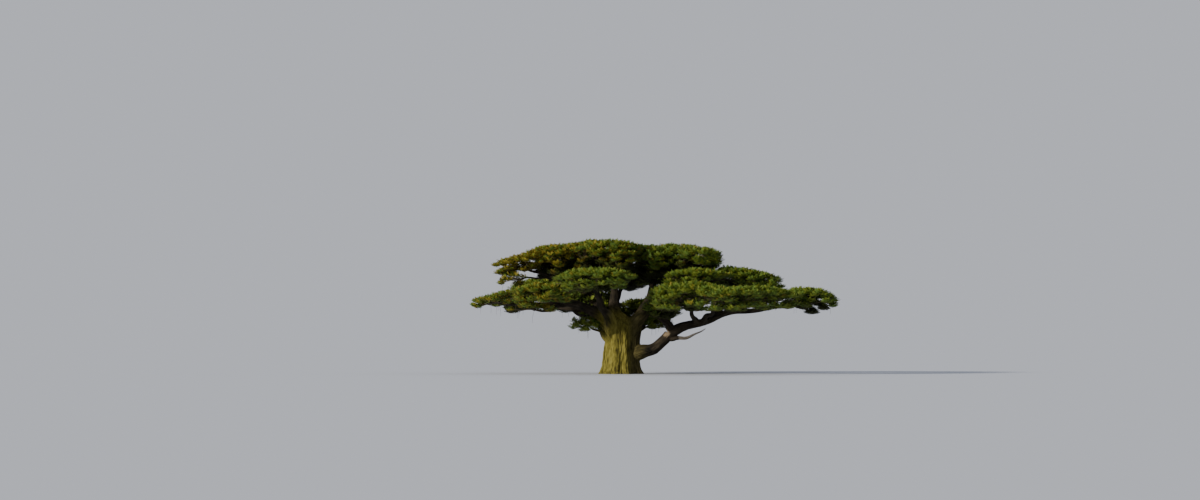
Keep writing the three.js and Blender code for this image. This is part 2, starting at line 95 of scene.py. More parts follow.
def smooth_step(value, low, high):
    """0 below low, 1 above high, and 3 t squared less 2 t cubed between, where t runs from 0 to 1."""
    t = np.clip((value - low) / (high - low), 0, 1)
    return t * t * (3 - 2 * t)


def trunk_girth(angle, z):
    """The trunk's girth as a share of its half width: one, plus a flare that dies away upwards and a
    swelling at the fork, times the dome's circle, times the lobes of its stems. The stems swell
    towards their boughs over a waist, deepest on the left, and the dome draws in between them."""
    z = np.clip(z, 0, TRUNK_TOP)
    flare = TRUNK_FLARE * np.exp(-z / TRUNK_FLARE_HEIGHT)
    swell = TRUNK_FORK_SWELL * smooth_step(z, TRUNK_SWELLS_FROM, TRUNK_SHOULDER)
    up_dome = np.maximum(0, (z - TRUNK_SHOULDER) / (TRUNK_TOP - TRUNK_SHOULDER))
    neck = TRUNK_NECK * smooth_step(up_dome, 0, TRUNK_NECK_TO)
    dome = np.sqrt(np.maximum(TRUNK_DOME_END, 1 - up_dome**2)) * (1 - neck)
    turned = angle + TRUNK_TWIST * z / TRUNK_TOP
    lobes = sum(depth * np.cos(count * turned + phase) for count, depth, phase in TRUNK_LOBES)
    waist = WAIST_DEPTH * (1 - np.cos(angle)) * np.exp(-(((z - WAIST_HEIGHT) / WAIST_WIDTH) ** 2))
    stems = 0
    for bearing in np.radians(TRUNK_STEMS):
        apart = np.sin((angle - bearing) / 2) * 2
        stems = stems + TRUNK_STEM_SWELL * np.exp(-((apart / TRUNK_STEM_WIDTH) ** 2))
    stems = stems * smooth_step(z, TRUNK_STEMS_FROM, TRUNK_SHOULDER)
    return (1 + flare + swell) * dome * (1 + lobes) * (1 + stems - waist)


def trunk_lean(z):
    """How far the trunk's middle stands to the left at a height: its top leans over its foot."""
    return TRUNK_LEAN * smooth_step(z, TRUNK_LEAN_FROM, TRUNK_TOP)


def trunk_relief(angle, z):
    """What the bark adds, as a share of the girth. Narrow furrows wander up between the stems, knots
    swell and fade, and ridges of bark run up the stems and break now and then. How the furrows
    wander and the ridges break is given by how far, in radians, and how fast, in radians to a metre
    of height and to a radian round the trunk."""
    wander = angle
    for aside, upwards, around in FURROWS_WANDER:
        wander = wander + aside * np.sin(upwards * z + around * angle)
    relief = TRUNK_KNOTS
    for around, upwards in TRUNK_KNOT_WAVES:
        relief = relief * np.sin(around * angle + upwards * z)
    for count, depth, phase in TRUNK_FURROWS:
        relief = relief - depth * np.exp(-((np.sin(count * wander / 2 + phase) / FURROW_WIDTH) ** 2))
    aside, upwards, around = RIDGES_BREAK
    for count, depth, phase in TRUNK_RIDGES:
        broken = np.sin(count * wander + phase + aside * np.sin(upwards * z + around * angle))
        relief = relief + depth * broken
    return relief


def skin(rings):
    """Points and faces that skin stacks of rings, as (stacks, rings, points, 3): four-sided faces
    from each ring to the next, and one face across each end. The rings turn to the left as seen
    from the far end, so the faces look outwards."""
    stacks, count, sides, _ = rings.shape
    foot = np.arange(stacks)[:, None, None] * count * sides
    level = np.arange(count - 1)[None, :, None] * sides
    place = np.arange(sides)[None, None, :]
    here = foot + level + place
    beside = foot + level + (place + 1) % sides
    walls = np.stack([here, beside, beside + sides, here + sides], axis=-1).reshape(-1, 4)
    ends = (foot + place)[:, 0]
    return rings.reshape(-1, 3), [walls, ends[:, ::-1], ends + (count - 1) * sides]


def make_piece(name, points, faces, materials, kinds=None, smooth=True):
    """A mesh object. faces is a list of arrays, each with faces of one number of corners, and kinds
    gives each face's place in the list of materials."""
    corners = np.concatenate([group.ravel() for group in faces]).astype(np.int32)
    sizes = np.concatenate([np.full(len(group), group.shape[1]) for group in faces])
    mesh = bpy.data.meshes.new(name)
    mesh.vertices.add(len(points))
    mesh.vertices.foreach_set("co", points.astype(np.float32).ravel())
    mesh.loops.add(len(corners))
    mesh.loops.foreach_set("vertex_index", corners)
    mesh.polygons.add(len(sizes))
    mesh.polygons.foreach_set("loop_start", (np.cumsum(sizes) - sizes).astype(np.int32))
    mesh.polygons.foreach_set("use_smooth", np.full(len(sizes), smooth))
    for material in materials:
        mesh.materials.append(material)
    if kinds is not None:
        mesh.polygons.foreach_set("material_index", kinds.astype(np.int32))
    mesh.update(calc_edges=True)
    made = bpy.data.objects.new(name, mesh)
    bpy.context.scene.collection.objects.link(made)
    return made


OLD_UP_TO, YOUNG_FROM = 4.0, 4.9
OLD_OUT_TO, YOUNG_OUT_FROM = 1.4, 2.2
# Painted shade: the bark is darkened towards +X, the side away from the lamp, by up to this share.
PAINTED_SHADE_FROM, PAINTED_SHADE_TO, PAINTED_SHADE = 0.3, 0.9, 0.7
# Painted highlight: a pale patch on the elbow of the low right bough, on the side the sun lights.
HIGHLIGHT_PLACE, HIGHLIGHT_RADIUS = np.array([3.15, -0.8, 2.85]), 0.55


def lay_grain(piece, points, grain, limb_grain=None, turned=None):
    """Stores a point's place on the straightened trunk or limb, for the bark's pattern to follow, and
    in a joint also its place on the nearest limb and how far the pattern has turned to that one.
    Its age_and_shade is 1 on the trunk and 0 out along the boughs, whose young bark is also painted
    dark as the crown's shade, and it is less on the side away from the lamp, which is painted shade.
    Its painted_highlight is 1 in the middle of a pale patch painted on the elbow of the low right
    bough, on the side the sun lights, less and less outwards."""
    x, z, out = points[:, 0], points[:, 2], np.hypot(points[:, 0], points[:, 1])
    age_and_shade = 1 - smooth_step(z, OLD_UP_TO, YOUNG_FROM)
    age_and_shade = age_and_shade * (1 - smooth_step(out, OLD_OUT_TO, YOUNG_OUT_FROM))
    # Painted shade on the side away from the lamp.
    age_and_shade = age_and_shade * (1 - PAINTED_SHADE * smooth_step(x, PAINTED_SHADE_FROM, PAINTED_SHADE_TO))
    # Painted highlight on the elbow, fading outwards.
    painted_highlight = np.maximum(0, 1 - np.linalg.norm(points - HIGHLIGHT_PLACE, axis=1) / HIGHLIGHT_RADIUS)
    limb_grain = grain if limb_grain is None else limb_grain
    turned = 0 * age_and_shade if turned is None else turned
    for name, values in (("grain", grain), ("limb_grain", limb_grain)):
        piece.data.attributes.new(name, "FLOAT_VECTOR", "POINT")
        piece.data.attributes[name].data.foreach_set("vector", values.astype(np.float32).ravel())
    for name, values in (("turned", turned), ("age_and_shade", age_and_shade), ("painted_highlight", painted_highlight)):
        piece.data.attributes.new(name, "FLOAT", "POINT")
        piece.data.attributes[name].data.foreach_set("value", values.astype(np.float32))


BARK_ROUGHNESS, BARK_SHINE, BARK_BUMP = 0.92, 0.2, 0.05
NOISE_MEAN, NOISE_ROUGHNESS = 0.5, 0.68
STREAK_ALONG, STREAK_DETAIL = 0.22, 9
PATCH_ACROSS, PATCH_ALONG, PATCH_DETAIL, PATCH_SHARE = 0.22, 0.1, 2, 0.55
FURROWS_BELOW, RIDGES_AT, WORN_ABOVE = 0.62, 0.77, 0.95
# The painted highlight's pale colour, how ragged its edge is, and where its edge falls.
HIGHLIGHT_WOOD, HIGHLIGHT_RAGGED, HIGHLIGHT_EDGE = (0.22, 0.165, 0.1), 2.0, (0.5, 0.62)


def feed(node, inputs):
    """Sets a node's inputs, each to a value or from another node's output."""
    for place, value in inputs.items():
        if isinstance(value, bpy.types.NodeSocket):
            node.id_data.links.new(value, node.inputs[place])
        else:
            node.inputs[place].default_value = value


def bark_material(name, young, old, coarse):
    """Bark that is dark in its furrows, with ridges of another colour and worn, paler crests, each
    given for young and for old bark and mixed by age_and_shade, which also carries painted shade.
    Where painted_highlight is set there is a painted highlight of pale wood with a ragged edge. The
    pattern is noise drawn out along the grain, in streaks over larger patches, at coarse repeats to
    the metre. In a joint it is mixed from the parent's grain and the limb's."""
    made = bpy.data.materials.new(name)
    made.use_nodes = True
    nodes = made.node_tree.nodes

    def add(kind, output, inputs, **settings):
        node = nodes.new("ShaderNode" + kind)
        for setting, value in settings.items():
            setattr(node, setting, value)
        feed(node, inputs)
        return node.outputs[output]

    def attribute(name, output="Fac"):
        return add("Attribute", output, {}, attribute_name=name)

    def noise(across, along, detail):
        scale = (across, across, along)
        mixed = {"Factor": attribute("turned")}
        for side, name in (("A", "grain"), ("B", "limb_grain")):
            place = {"Scale": scale, "Vector": attribute(name, "Vector")}
            pattern = {"Scale": 1.0, "Detail": detail, "Roughness": NOISE_ROUGHNESS}
            pattern["Vector"] = add("Mapping", "Vector", place)
            mixed[side] = add("TexNoise", "Fac", pattern)
        return add("Mix", "Result", mixed)

    def multiply_add(value, factor, added):
        return add("Math", "Value", {0: value, 1: factor, 2: added}, operation="MULTIPLY_ADD")

    def mix_colours(factor, one, other):
        return add("Mix", "Result", {"Factor": factor, "A": one, "B": other}, data_type="RGBA")

    streaks = noise(coarse, STREAK_ALONG * coarse, STREAK_DETAIL)
    patches = noise(PATCH_ACROSS * coarse, PATCH_ALONG * coarse, PATCH_DETAIL)
    both = multiply_add(patches, PATCH_SHARE, streaks)

    def ramp(furrow, ridge, worn):
        colours = nodes.new("ShaderNodeValToRGB")
        stops = colours.color_ramp.elements
        stops[0].position, stops[1].position = FURROWS_BELOW, WORN_ABOVE
        stops[0].color, stops[1].color = (*furrow, 1), (*worn, 1)
        stops.new(RIDGES_AT).color = (*ridge, 1)
        feed(colours, {"Fac": both})
        return colours.outputs["Color"]

    # The age_and_shade share mixes young and old bark, and so also lays on the painted shade.
    bark = mix_colours(attribute("age_and_shade"), ramp(*young), ramp(*old))
    # The painted highlight, with a ragged edge from the streaks.
    highlight_noise = multiply_add(streaks, HIGHLIGHT_RAGGED, attribute("painted_highlight"))
    low, high = (HIGHLIGHT_RAGGED * NOISE_MEAN + level for level in HIGHLIGHT_EDGE)
    edge = add("MapRange", "Result", {"Value": highlight_noise, "From Min": low, "From Max": high})
    bump = {"Strength": 1, "Distance": BARK_BUMP, "Height": streaks}
    surface = {
        "Base Color": mix_colours(edge, bark, (*HIGHLIGHT_WOOD, 1)),
        "Roughness": BARK_ROUGHNESS,
        "Specular IOR Level": BARK_SHINE,
        "Normal": add("Bump", "Normal", bump),
    }
    feed(nodes["Principled BSDF"], surface)
    return made


OLD_BARK = ((0.033, 0.028, 0.004), (0.105, 0.092, 0.012), (0.175, 0.155, 0.033))
# Young bark, darker than old bark, and darkened further as painted shade from the crown.
YOUNG_AND_SHADED_BARK = ((0.006, 0.005, 0.003), (0.019, 0.0145, 0.008), (0.044, 0.034, 0.021))
living_bark = bark_material("rough living bark", YOUNG_AND_SHADED_BARK, OLD_BARK, coarse=9.0)
angles = all_round(TRUNK_SIDES)[None, :]
heights = np.linspace(-CUT_MARGIN, TRUNK_TOP, TRUNK_ROWS)[:, None]
girth = trunk_girth(angles, heights)
trunk_rings = stacked(
    TRUNK_HALF_WIDTH * girth * np.cos(angles) - trunk_lean(heights),
    TRUNK_HALF_DEPTH * girth * np.sin(angles),
    heights,
)


def by_trunk(points):
    """How far points are outside the trunk, the bark's relief there in metres, and the grain."""
    x, y, z = points.T
    x = x + trunk_lean(z)
    angle = np.arctan2(y / TRUNK_HALF_DEPTH, x / TRUNK_HALF_WIDTH)
    out = np.hypot(x / TRUNK_HALF_WIDTH, y / TRUNK_HALF_DEPTH)
    gap = np.maximum(out - trunk_girth(angle, z), (z - TRUNK_TOP)) * TRUNK_HALF_WIDTH
    return gap, TRUNK_HALF_WIDTH * trunk_relief(angle, z), points


# The boughs and limbs
# Old boughs leave the trunk steeply, bend outwards and come nearly level, and limbs leave them in
# the same way. Each tapers from a swollen collar, and its bark is darker than the trunk's: partly
# its own darker bark, partly painted shade from the crown over it.

# A limb starts at a point or at a share of its parent. Its tip follows, then the angles in degrees
# at which it leaves and ends, and its girth at both ends.
LIMBS = {
    "right_bough_root": ((0.3, -0.15, 1.25), (3.35, -0.5, 2.8), 8, 60, 0.4, 0.33),
    "right_bough": (("right_bough_root", 1), (11.3, -1.0, 4.75), 28, 7, 0.32, 0.1),
    "crown_centre_limb": (("right_bough", 0.04), (2.1, -1.3, 4.8), 56, 52, 0.24, 0.14),
    "right_front_inner_limb": (("right_bough", 0.27), (4.5, -3.3, 4.75), 34, 14, 0.17, 0.09),
    "right_front_limb": (("right_bough", 0.33), (6.6, -4.5, 4.6), 22, 10, 0.18, 0.1),
    "right_front_outer_limb": (("right_bough", 0.42), (8.8, -2.9, 4.65), 24, 6, 0.17, 0.09),
    "right_upper_limb": (("right_bough", 0.46), (8.1, 0.9, 6.1), 52, 34, 0.17, 0.09),
    "right_back_limb": (("right_bough", 0.38), (7.9, 4.2, 5.2), 28, 12, 0.18, 0.1),
    "crown_right_bough": ((0.4, -0.1, 2.5), (4.3, -0.9, 6.3), 64, 24, 0.42, 0.13),
    "top_right_bough": ((0.45, 0.3, 2.4), (2.6, 1.9, 7.3), 52, 70, 0.44, 0.16),
    "top_right_outer_limb": (("top_right_bough", 0.6), (4.9, 1.4, 7.5), 44, 30, 0.2, 0.1),
    "centre_back_limb": (("top_right_bough", 0.2), (1.4, 1.9, 4.3), 34, 8, 0.14, 0.08),
    "top_bough": ((-0.15, 0.25, 2.4), (-0.8, 0.8, 7.7), 82, 74, 0.42, 0.15),
    "top_left_bough": ((-0.4, 0.15, 2.4), (-3.7, 2.0, 7.5), 62, 44, 0.44, 0.14),
    "top_left_outer_limb": (("top_left_bough", 0.6), (-6.2, 1.2, 7.2), 36, 10, 0.18, 0.09),
    "top_left_drooping_limb": (("top_left_outer_limb", 0.66), (-7.2, 0.35, 6.6), -8, -16, 0.08, 0.05),
    "left_bough": ((-0.65, -0.15, 3.2), (-7.7, -1.4, 4.85), 72, 2, 0.38, 0.1),
    "left_front_limb": (("left_bough", 0.38), (-4.9, -2.5, 5.1), 26, 10, 0.18, 0.09),
    "left_low_limb": (("left_bough", 0.52), (-5.5, -1.9, 4.35), -8, 4, 0.12, 0.07),
    "left_back_limb": (("left_bough", 0.3), (-6.2, 2.1, 4.8), 14, 4, 0.19, 0.09),
    "left_inner_bough": ((-0.5, -0.35, 2.4), (-1.9, -3.3, 5.9), 60, 34, 0.4, 0.13),
    "left_under_limb": (("left_bough", 0.16), (-2.0, 1.3, 4.6), 48, 20, 0.16, 0.08),
    "back_left_bough": ((-0.4, 0.3, 2.3), (-4.7, 4.6, 5.4), 46, 18, 0.42, 0.13),
    "back_bough": ((-0.05, 0.4, 2.3), (-1.8, 5.8, 5.2), 46, 14, 0.42, 0.13),
    "back_upper_limb": (("back_bough", 0.45), (0.3, 4.6, 6.35), 56, 34, 0.22, 0.11),
    "back_right_bough": ((0.4, 0.35, 2.3), (3.6, 5.3, 5.7), 44, 22, 0.42, 0.13),
    "low_left_limb": ((-0.5, 0.1, 2.35), (-1.9, 0.35, 3.1), 34, 12, 0.13, 0.07),
    "low_right_limb": ((0.5, 0.3, 2.35), (1.85, 1.0, 3.3), 36, 16, 0.14, 0.07),
    "dead_branch": (("right_bough_root", 0.92), (5.85, -1.2, 3.15), -16, 36, 0.17, 0.025),
}
LEAVE_SHARE, ARRIVE_SHARE = 0.3, 0.36
CROOK_SHARE, CROOKS_SIDEWAYS, CROOKS_UPWARDS, CROOK_RISE = 0.025, 3.3, 4.1, 0.7
PHASE_STEP = 1.7
COLLAR, COLLAR_GIRTHS = 0.25, 2.5
STATION_GAP, NEAR_STATIONS, FINE_STATIONS, FEWEST_STATIONS = 0.07, 81, 201, 12
POINTS_AT_ONCE = 20000
RIDGE_WIDTH, RIDGE_DEPTH, RIDGE_SIDES, RIDGES_WANDER = 0.085, 0.03, 3, (1.6, 2.9)
FLUTES, KNOTS = ((0.06, 3, 0.5), (0.045, 5, -0.8)), (0.05, 3.7, 1.3)
LIMB_SIDES, FEWEST_SIDES, MOST_SIDES = 32, 12, 96
BARE_TIP = 0.1


def heading(bearing, climb):
    """The direction that points along a bearing and climbs at an angle, both in radians."""
    return stacked(np.cos(bearing) * np.cos(climb), np.sin(bearing) * np.cos(climb), np.sin(climb))


class Limb:
    """A limb's middle line: a cubic sweep that leaves its start and reaches its tip at the limb's own
    angles, with a slow crook laid over it, sideways and up. One that turns off its parent has a
    rounded collar there, and one that carries its parent on has none."""

    def __init__(self, start, tip, climb, level, thick, thin, order, turns_off):
        span = tip - start
        self.length = np.linalg.norm(span)
        self.bearing = np.arctan2(span[1], span[0])
        leave = start + LEAVE_SHARE * self.length * heading(self.bearing, np.radians(climb))
        arrive = tip - ARRIVE_SHARE * self.length * heading(self.bearing, np.radians(level))
        self.handles = np.array([start, leave, arrive, tip])
        self.phase = PHASE_STEP * order
        self.turns_off = turns_off
        self.thick, self.thin = thick, thin
        fine = self.at(np.linspace(0, 1, FINE_STATIONS))
        steps = np.linalg.norm(np.diff(fine, axis=0), axis=1)
        self.run = np.concatenate([[0], np.cumsum(steps)])

    def at(self, t):
        """The point at t, from 0 to 1."""
        t = np.atleast_1d(t)[:, None]
        weights = np.hstack([(1 - t) ** 3, 3 * (1 - t) ** 2 * t, 3 * (1 - t) * t**2, t**3])
        point = weights @ self.handles
        envelope = CROOK_SHARE * self.length * np.sin(np.pi * t)
        side = np.array([[-np.sin(self.bearing), np.cos(self.bearing), 0]])
        sideways = envelope * np.sin(CROOKS_SIDEWAYS * np.pi * t + self.phase) * side
        upwards = CROOK_RISE * envelope * np.sin(CROOKS_UPWARDS * np.pi * t + 2 * self.phase)
        return point + sideways + upwards * np.array([[0, 0, 1]])

    def spaced(self, count, first=0, last=1):
        """Points at even steps from the first share of its length to the last, with their shares."""
        share = np.linspace(first, last, count)
        t = np.interp(share * self.run[-1], self.run, np.linspace(0, 1, len(self.run)))
        return self.at(t), share

    def girth(self, share):
        """It tapers evenly from thick to thin, plus a collar that dies away from its start."""
        collar_length = COLLAR_GIRTHS * self.thick / self.run[-1]
        collar = COLLAR * np.exp(-share / collar_length)
        return self.thin + (self.thick - self.thin) * (1 - share + collar)

    def near(self, points):
        """How far points are outside the limb, the bark's relief there in metres, and the grain,
        measured from the nearest of its stations."""
        line, share = self.spaced(NEAR_STATIONS)
        along, across, upward = (directions[0] for directions in frames_along(line[None]))
        few = np.array_split(points, 1 + len(points) // POINTS_AT_ONCE)
        nearest = [((p[:, None] - line) ** 2).sum(axis=2).argmin(axis=1) for p in few]
        nearest = np.concatenate(nearest)
        offset = points - line[nearest]
        place = share[nearest] * self.run[-1] + (offset * along[nearest]).sum(axis=1)
        sideways = (offset * across[nearest]).sum(axis=1)
        up = (offset * upward[nearest]).sum(axis=1)
        angle = np.arctan2(up, sideways)
        girth = self.girth(np.clip(place / self.run[-1], 0, 1))
        beyond = np.maximum(0, np.maximum(-place, place - self.run[-1]))
        gap = np.hypot(np.hypot(sideways, up), beyond) - girth
        grain = stacked(girth * np.cos(angle), girth * np.sin(angle), place)
        return gap, girth * limb_relief(angle, place, self.thick, self.phase), grain + self.phase


def frames_along(lines):
    """The directions along middle lines, level across them, and up from them."""
    along = np.gradient(lines, axis=1)
    along /= np.linalg.norm(along, axis=2, keepdims=True)
    chord = lines[:, -1] - lines[:, 0]
    bearing = np.arctan2(chord[:, 1], chord[:, 0])
    level = stacked(-np.sin(bearing), np.cos(bearing), 0.0)[:, None]
    across = level - along * (level * along).sum(axis=2, keepdims=True)
    across /= np.linalg.norm(across, axis=2, keepdims=True)
    return along, across, np.cross(along, across)


def rings_along(lines, girths, sides):
    """Rings round middle lines, as (lines, stations, 3). A ring's points are its station plus the
    girth times cos(angle) level across the line and sin(angle) up from it."""
    _, across, upward = frames_along(lines)
    angle = all_round(sides)[None, None, :, None]
    circle = across[:, :, None] * np.cos(angle) + upward[:, :, None] * np.sin(angle)
    girths = girths if girths.ndim == 3 else girths[:, :, None]
    return lines[:, :, None] + girths[..., None] * circle


def ridge_count(thick):
    """How many ridges of bark there are round a limb."""
    return np.round(2 * np.pi * thick / RIDGE_WIDTH)


def limb_relief(angle, along, thick, phase):
    """What knots, flutes and ridges of bark add to a limb's girth, as a share of it. Three flutes
    turn slowly one way round the limb and five the other way, knots come every metre or two, and
    ridges wander along it and are as wide as on any other. The rates are radians to the metre."""
    relief = 0
    for turns, (depth, count, rate) in enumerate(FLUTES, start=1):
        relief = relief + depth * np.cos(count * angle + rate * along + turns * phase)
    depth, rate, slow_rate = KNOTS
    relief = relief + depth * np.sin(rate * along + phase) * np.sin(slow_rate * along + 2 * angle)
    aside, rate = RIDGES_WANDER
    wander = aside * np.sin(rate * along + phase)
    return relief + RIDGE_DEPTH * np.sin(ridge_count(thick) * angle + wander)


DEAD_WOOD = ((0.05, 0.043, 0.034), (0.11, 0.097, 0.08), (0.22, 0.2, 0.17))
dead_bark = bark_material("weathered dead wood", DEAD_WOOD, DEAD_WOOD, coarse=18.0)
limbs = {}
for order, (name, row) in enumerate(LIMBS.items(), start=1):
    start, tip, climb, level, thick, thin = row
    from_parent = start[0] in limbs
    root = limbs[start[0]].at(start[1])[0] if from_parent else np.array(start)
    carries_on = from_parent and start[1] == 1
    limbs[name] = Limb(root, np.array(tip), climb, level, thick, thin, order, not carries_on)

# Where two limbs meet
# The wood of a joint is one piece: a limb grows out of its parent in a rounded collar. So each parent
# has the first stretch of its limbs on it in one skin, and the limb's own bark starts inside that.
COLLAR_SWELL, COLLAR_LENGTH = 0.3, 2.2
JOINT_LENGTH, JOINT_GIRTH, JOINT_END_GIRTH, JOINT_END_LENGTH = 3.4, 1.06, 0.86, 0.8
OWN_BARK_BEFORE = 1.8
TRUNK_CELL, TRUNK_ROUNDING = 0.033, 0.1
LIMB_CELL, LIMB_ROUNDING = 0.025, 0.05
BURIED_GIRTH, BURIED_LENGTH = 0.6, 2.8
GRAIN_BLEND = 0.12
CUT_RIM = 0.01
SMOOTHING_PASSES = 4
parents = {name: row[0][0] if row[0][0] in limbs else "trunk" for name, row in LIMBS.items()}
children = {name: [child for child in limbs if parents[child] == name] for name in ["trunk", *limbs]}


def joint_reach(parent, limb):
    """How far along a limb its joint reaches: from where it leaves its parent, some girths more."""
    line, share = limb.spaced(NEAR_STATIONS)
    outside = (by_trunk if parent == "trunk" else limbs[parent].near)(line)[0] > 0
    return share[outside.argmax()] * limb.run[-1], JOINT_LENGTH * limb.thick


def before_rounding(girth, rounding):
    """A girth, with what the rounding of its skin will take off again on top."""
    return girth + rounding**2 / (2 * girth)


def joint_rings(parent, limb, rounding):
    """The first stretch of a limb, a little stouter than its own bark. One that turns off is slim
    inside its parent, so that it comes out gently, and swollen where it leaves. All are drawn in at
    the end, where their own bark takes over."""
    leaves, reach = joint_reach(parent, limb)
    ends = leaves + reach
    line, share = limb.spaced(2 + int(ends / STATION_GAP), 0, ends / limb.run[-1])
    along = share * limb.run[-1]
    swell = COLLAR_SWELL * (1 - smooth_step(along, leaves, leaves + COLLAR_LENGTH * limb.thick))
    swell = swell * limb.turns_off
    buried = BURIED_GIRTH + (1 - BURIED_GIRTH) * smooth_step(
        along, leaves - BURIED_LENGTH * limb.thick, leaves
    )
    end = smooth_step(along, ends - JOINT_END_LENGTH * limb.thick, ends)
    girth = limb.girth(share) * (JOINT_GIRTH + swell + (JOINT_END_GIRTH - JOINT_GIRTH) * end)
    girth = girth * (buried if limb.turns_off else 1)
    return rings_along(line[None], before_rounding(girth, rounding)[None], LIMB_SIDES)


def join(parts):
    """One list of points and faces from several, with the number of faces in each."""
    points, faces, counts, before = [], [], [], 0
    for part_points, part_faces in parts:
        points.append(part_points)
        faces.extend(group + before for group in part_faces)
        counts.append(sum(len(group) for group in part_faces))
        before += len(part_points)
    return np.concatenate(points), faces, counts


def one_skin(piece, cell, rounding):
    """Replaces overlapping closed skins by one over them all, in cells, and rounds it: each pass
    moves a point half way to the middle of its neighbours, and the passes grow with the square of
    the rounding over the cell."""
    remesh = piece.modifiers.new("one skin", "REMESH")
    remesh.mode = "VOXEL"
    remesh.voxel_size = cell
    rounded = piece.modifiers.new("rounded joints", "SMOOTH")
    rounded.factor = 0.5
    rounded.iterations = round(SMOOTHING_PASSES * (rounding / cell) ** 2)
    bpy.context.view_layer.update()
    evaluated = piece.evaluated_get(bpy.context.evaluated_depsgraph_get())
    piece.data = bpy.data.meshes.new_from_object(evaluated)
    piece.modifiers.clear()


def cut_level(piece):
    """Cuts a piece off level at the ground and closes the cut."""
    cutter = bmesh.new()
    cutter.from_mesh(piece.data)
    everything = cutter.verts[:] + cutter.edges[:] + cutter.faces[:]
    cut_edges = bmesh.ops.bisect_plane(
        cutter, geom=everything, plane_co=(0, 0, 0), plane_no=(0, 0, 1), clear_inner=True
    )["geom_cut"]
    edges = [part for part in cut_edges if isinstance(part, bmesh.types.BMEdge)]
    bmesh.ops.edgeloop_fill(cutter, edges=edges)
    cutter.to_mesh(piece.data)
    cutter.free()


def raise_bark(piece, members):
    """Moves a skin's points outwards by the bark's relief. Near a joint the reliefs of the parent,
    which comes first, and its limbs are mixed, each by the exponential of how near it is. The grain
    turns from the parent's to the nearest limb's by the same shares."""
    count = len(piece.data.vertices)
    points, outward = np.empty(3 * count), np.empty(3 * count)
    piece.data.vertices.foreach_get("co", points)
    piece.data.vertices.foreach_get("normal", outward)
    points, outward = points.reshape(-1, 3), outward.reshape(-1, 3)
    gaps, reliefs, grains = (np.array(values) for values in zip(*(near(points) for near in members)))
    weights = np.exp(-(gaps - gaps.min(axis=0)) / GRAIN_BLEND)
    weights = weights / weights.sum(axis=0)
    relief = (weights * reliefs).sum(axis=0)
    outward[points[:, 2] < CUT_RIM, 2] = 0
    limb_grain = np.take_along_axis(grains[1:], gaps[1:].argmin(axis=0)[None, :, None], axis=0)[0]
    points = points + outward * relief[:, None]
    points[:, 2] = np.maximum(0, points[:, 2])
    piece.data.vertices.foreach_set("co", points.ravel())
    piece.data.update()
    lay_grain(piece, points, grains[0], limb_grain, 1 - weights[0])


skins = [skin(trunk_rings[None])]
skins += [skin(joint_rings("trunk", limbs[name], TRUNK_ROUNDING)) for name in children["trunk"]]
points, faces, _ = join(skins)
trunk = make_piece("bark_of_trunk", points, faces, [living_bark])
one_skin(trunk, TRUNK_CELL, TRUNK_ROUNDING)
cut_level(trunk)
raise_bark(trunk, [by_trunk, *(limbs[name].near for name in children["trunk"])])
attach(trunk, "root")
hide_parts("trunk")

for name, limb in limbs.items():
    joint_length = sum(joint_reach(parents[name], limb))
    first = (joint_length - OWN_BARK_BEFORE * limb.thick) / limb.run[-1]
    dead = name == "dead_branch"
    bark = [dead_bark if dead else living_bark]
    if children[name]:
        line, share = limb.spaced(2 + int(limb.run[-1] / STATION_GAP), first)
        girth = before_rounding(limb.girth(share), LIMB_ROUNDING)
        skins = [skin(rings_along(line[None], girth[None], LIMB_SIDES))]
        skins += [skin(joint_rings(name, limbs[child], LIMB_ROUNDING)) for child in children[name]]
        points, faces, _ = join(skins)
        piece = make_piece("bark_of_" + name, points, faces, bark)
        one_skin(piece, LIMB_CELL, LIMB_ROUNDING)
        raise_bark(piece, [limb.near, *(limbs[child].near for child in children[name])])
    else:
        stations = max(FEWEST_STATIONS, int(limb.run[-1] / STATION_GAP))
        sides = int(np.clip(ridge_count(limb.thick) * RIDGE_SIDES, FEWEST_SIDES, MOST_SIDES))
        line, share = limb.spaced(stations, first)
        angle = all_round(sides)[None, :]
        along = (share * limb.run[-1])[:, None]
        girth = limb.girth(share)[:, None]
        fade = np.minimum(1, (1 - share[:, None]) / BARE_TIP)
        relief = limb_relief(angle, along, limb.thick, limb.phase) * fade
        points, faces = skin(rings_along(line[None], (girth * (1 + relief))[None], sides))
        piece = make_piece("bark_of_" + name, points, faces, bark)
        straight = stacked(girth * np.cos(angle), girth * np.sin(angle), along).reshape(-1, 3)
        lay_grain(piece, points, straight + limb.phase)
    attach(piece, "root")
    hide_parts(name)

# The spaces of the masses
# Each mass of foliage is a cushion over its limb's tip, flat below and domed above, and keeps to its
# own space, as neighbouring crowns do. Its rim has waves, and stops short of its neighbours.

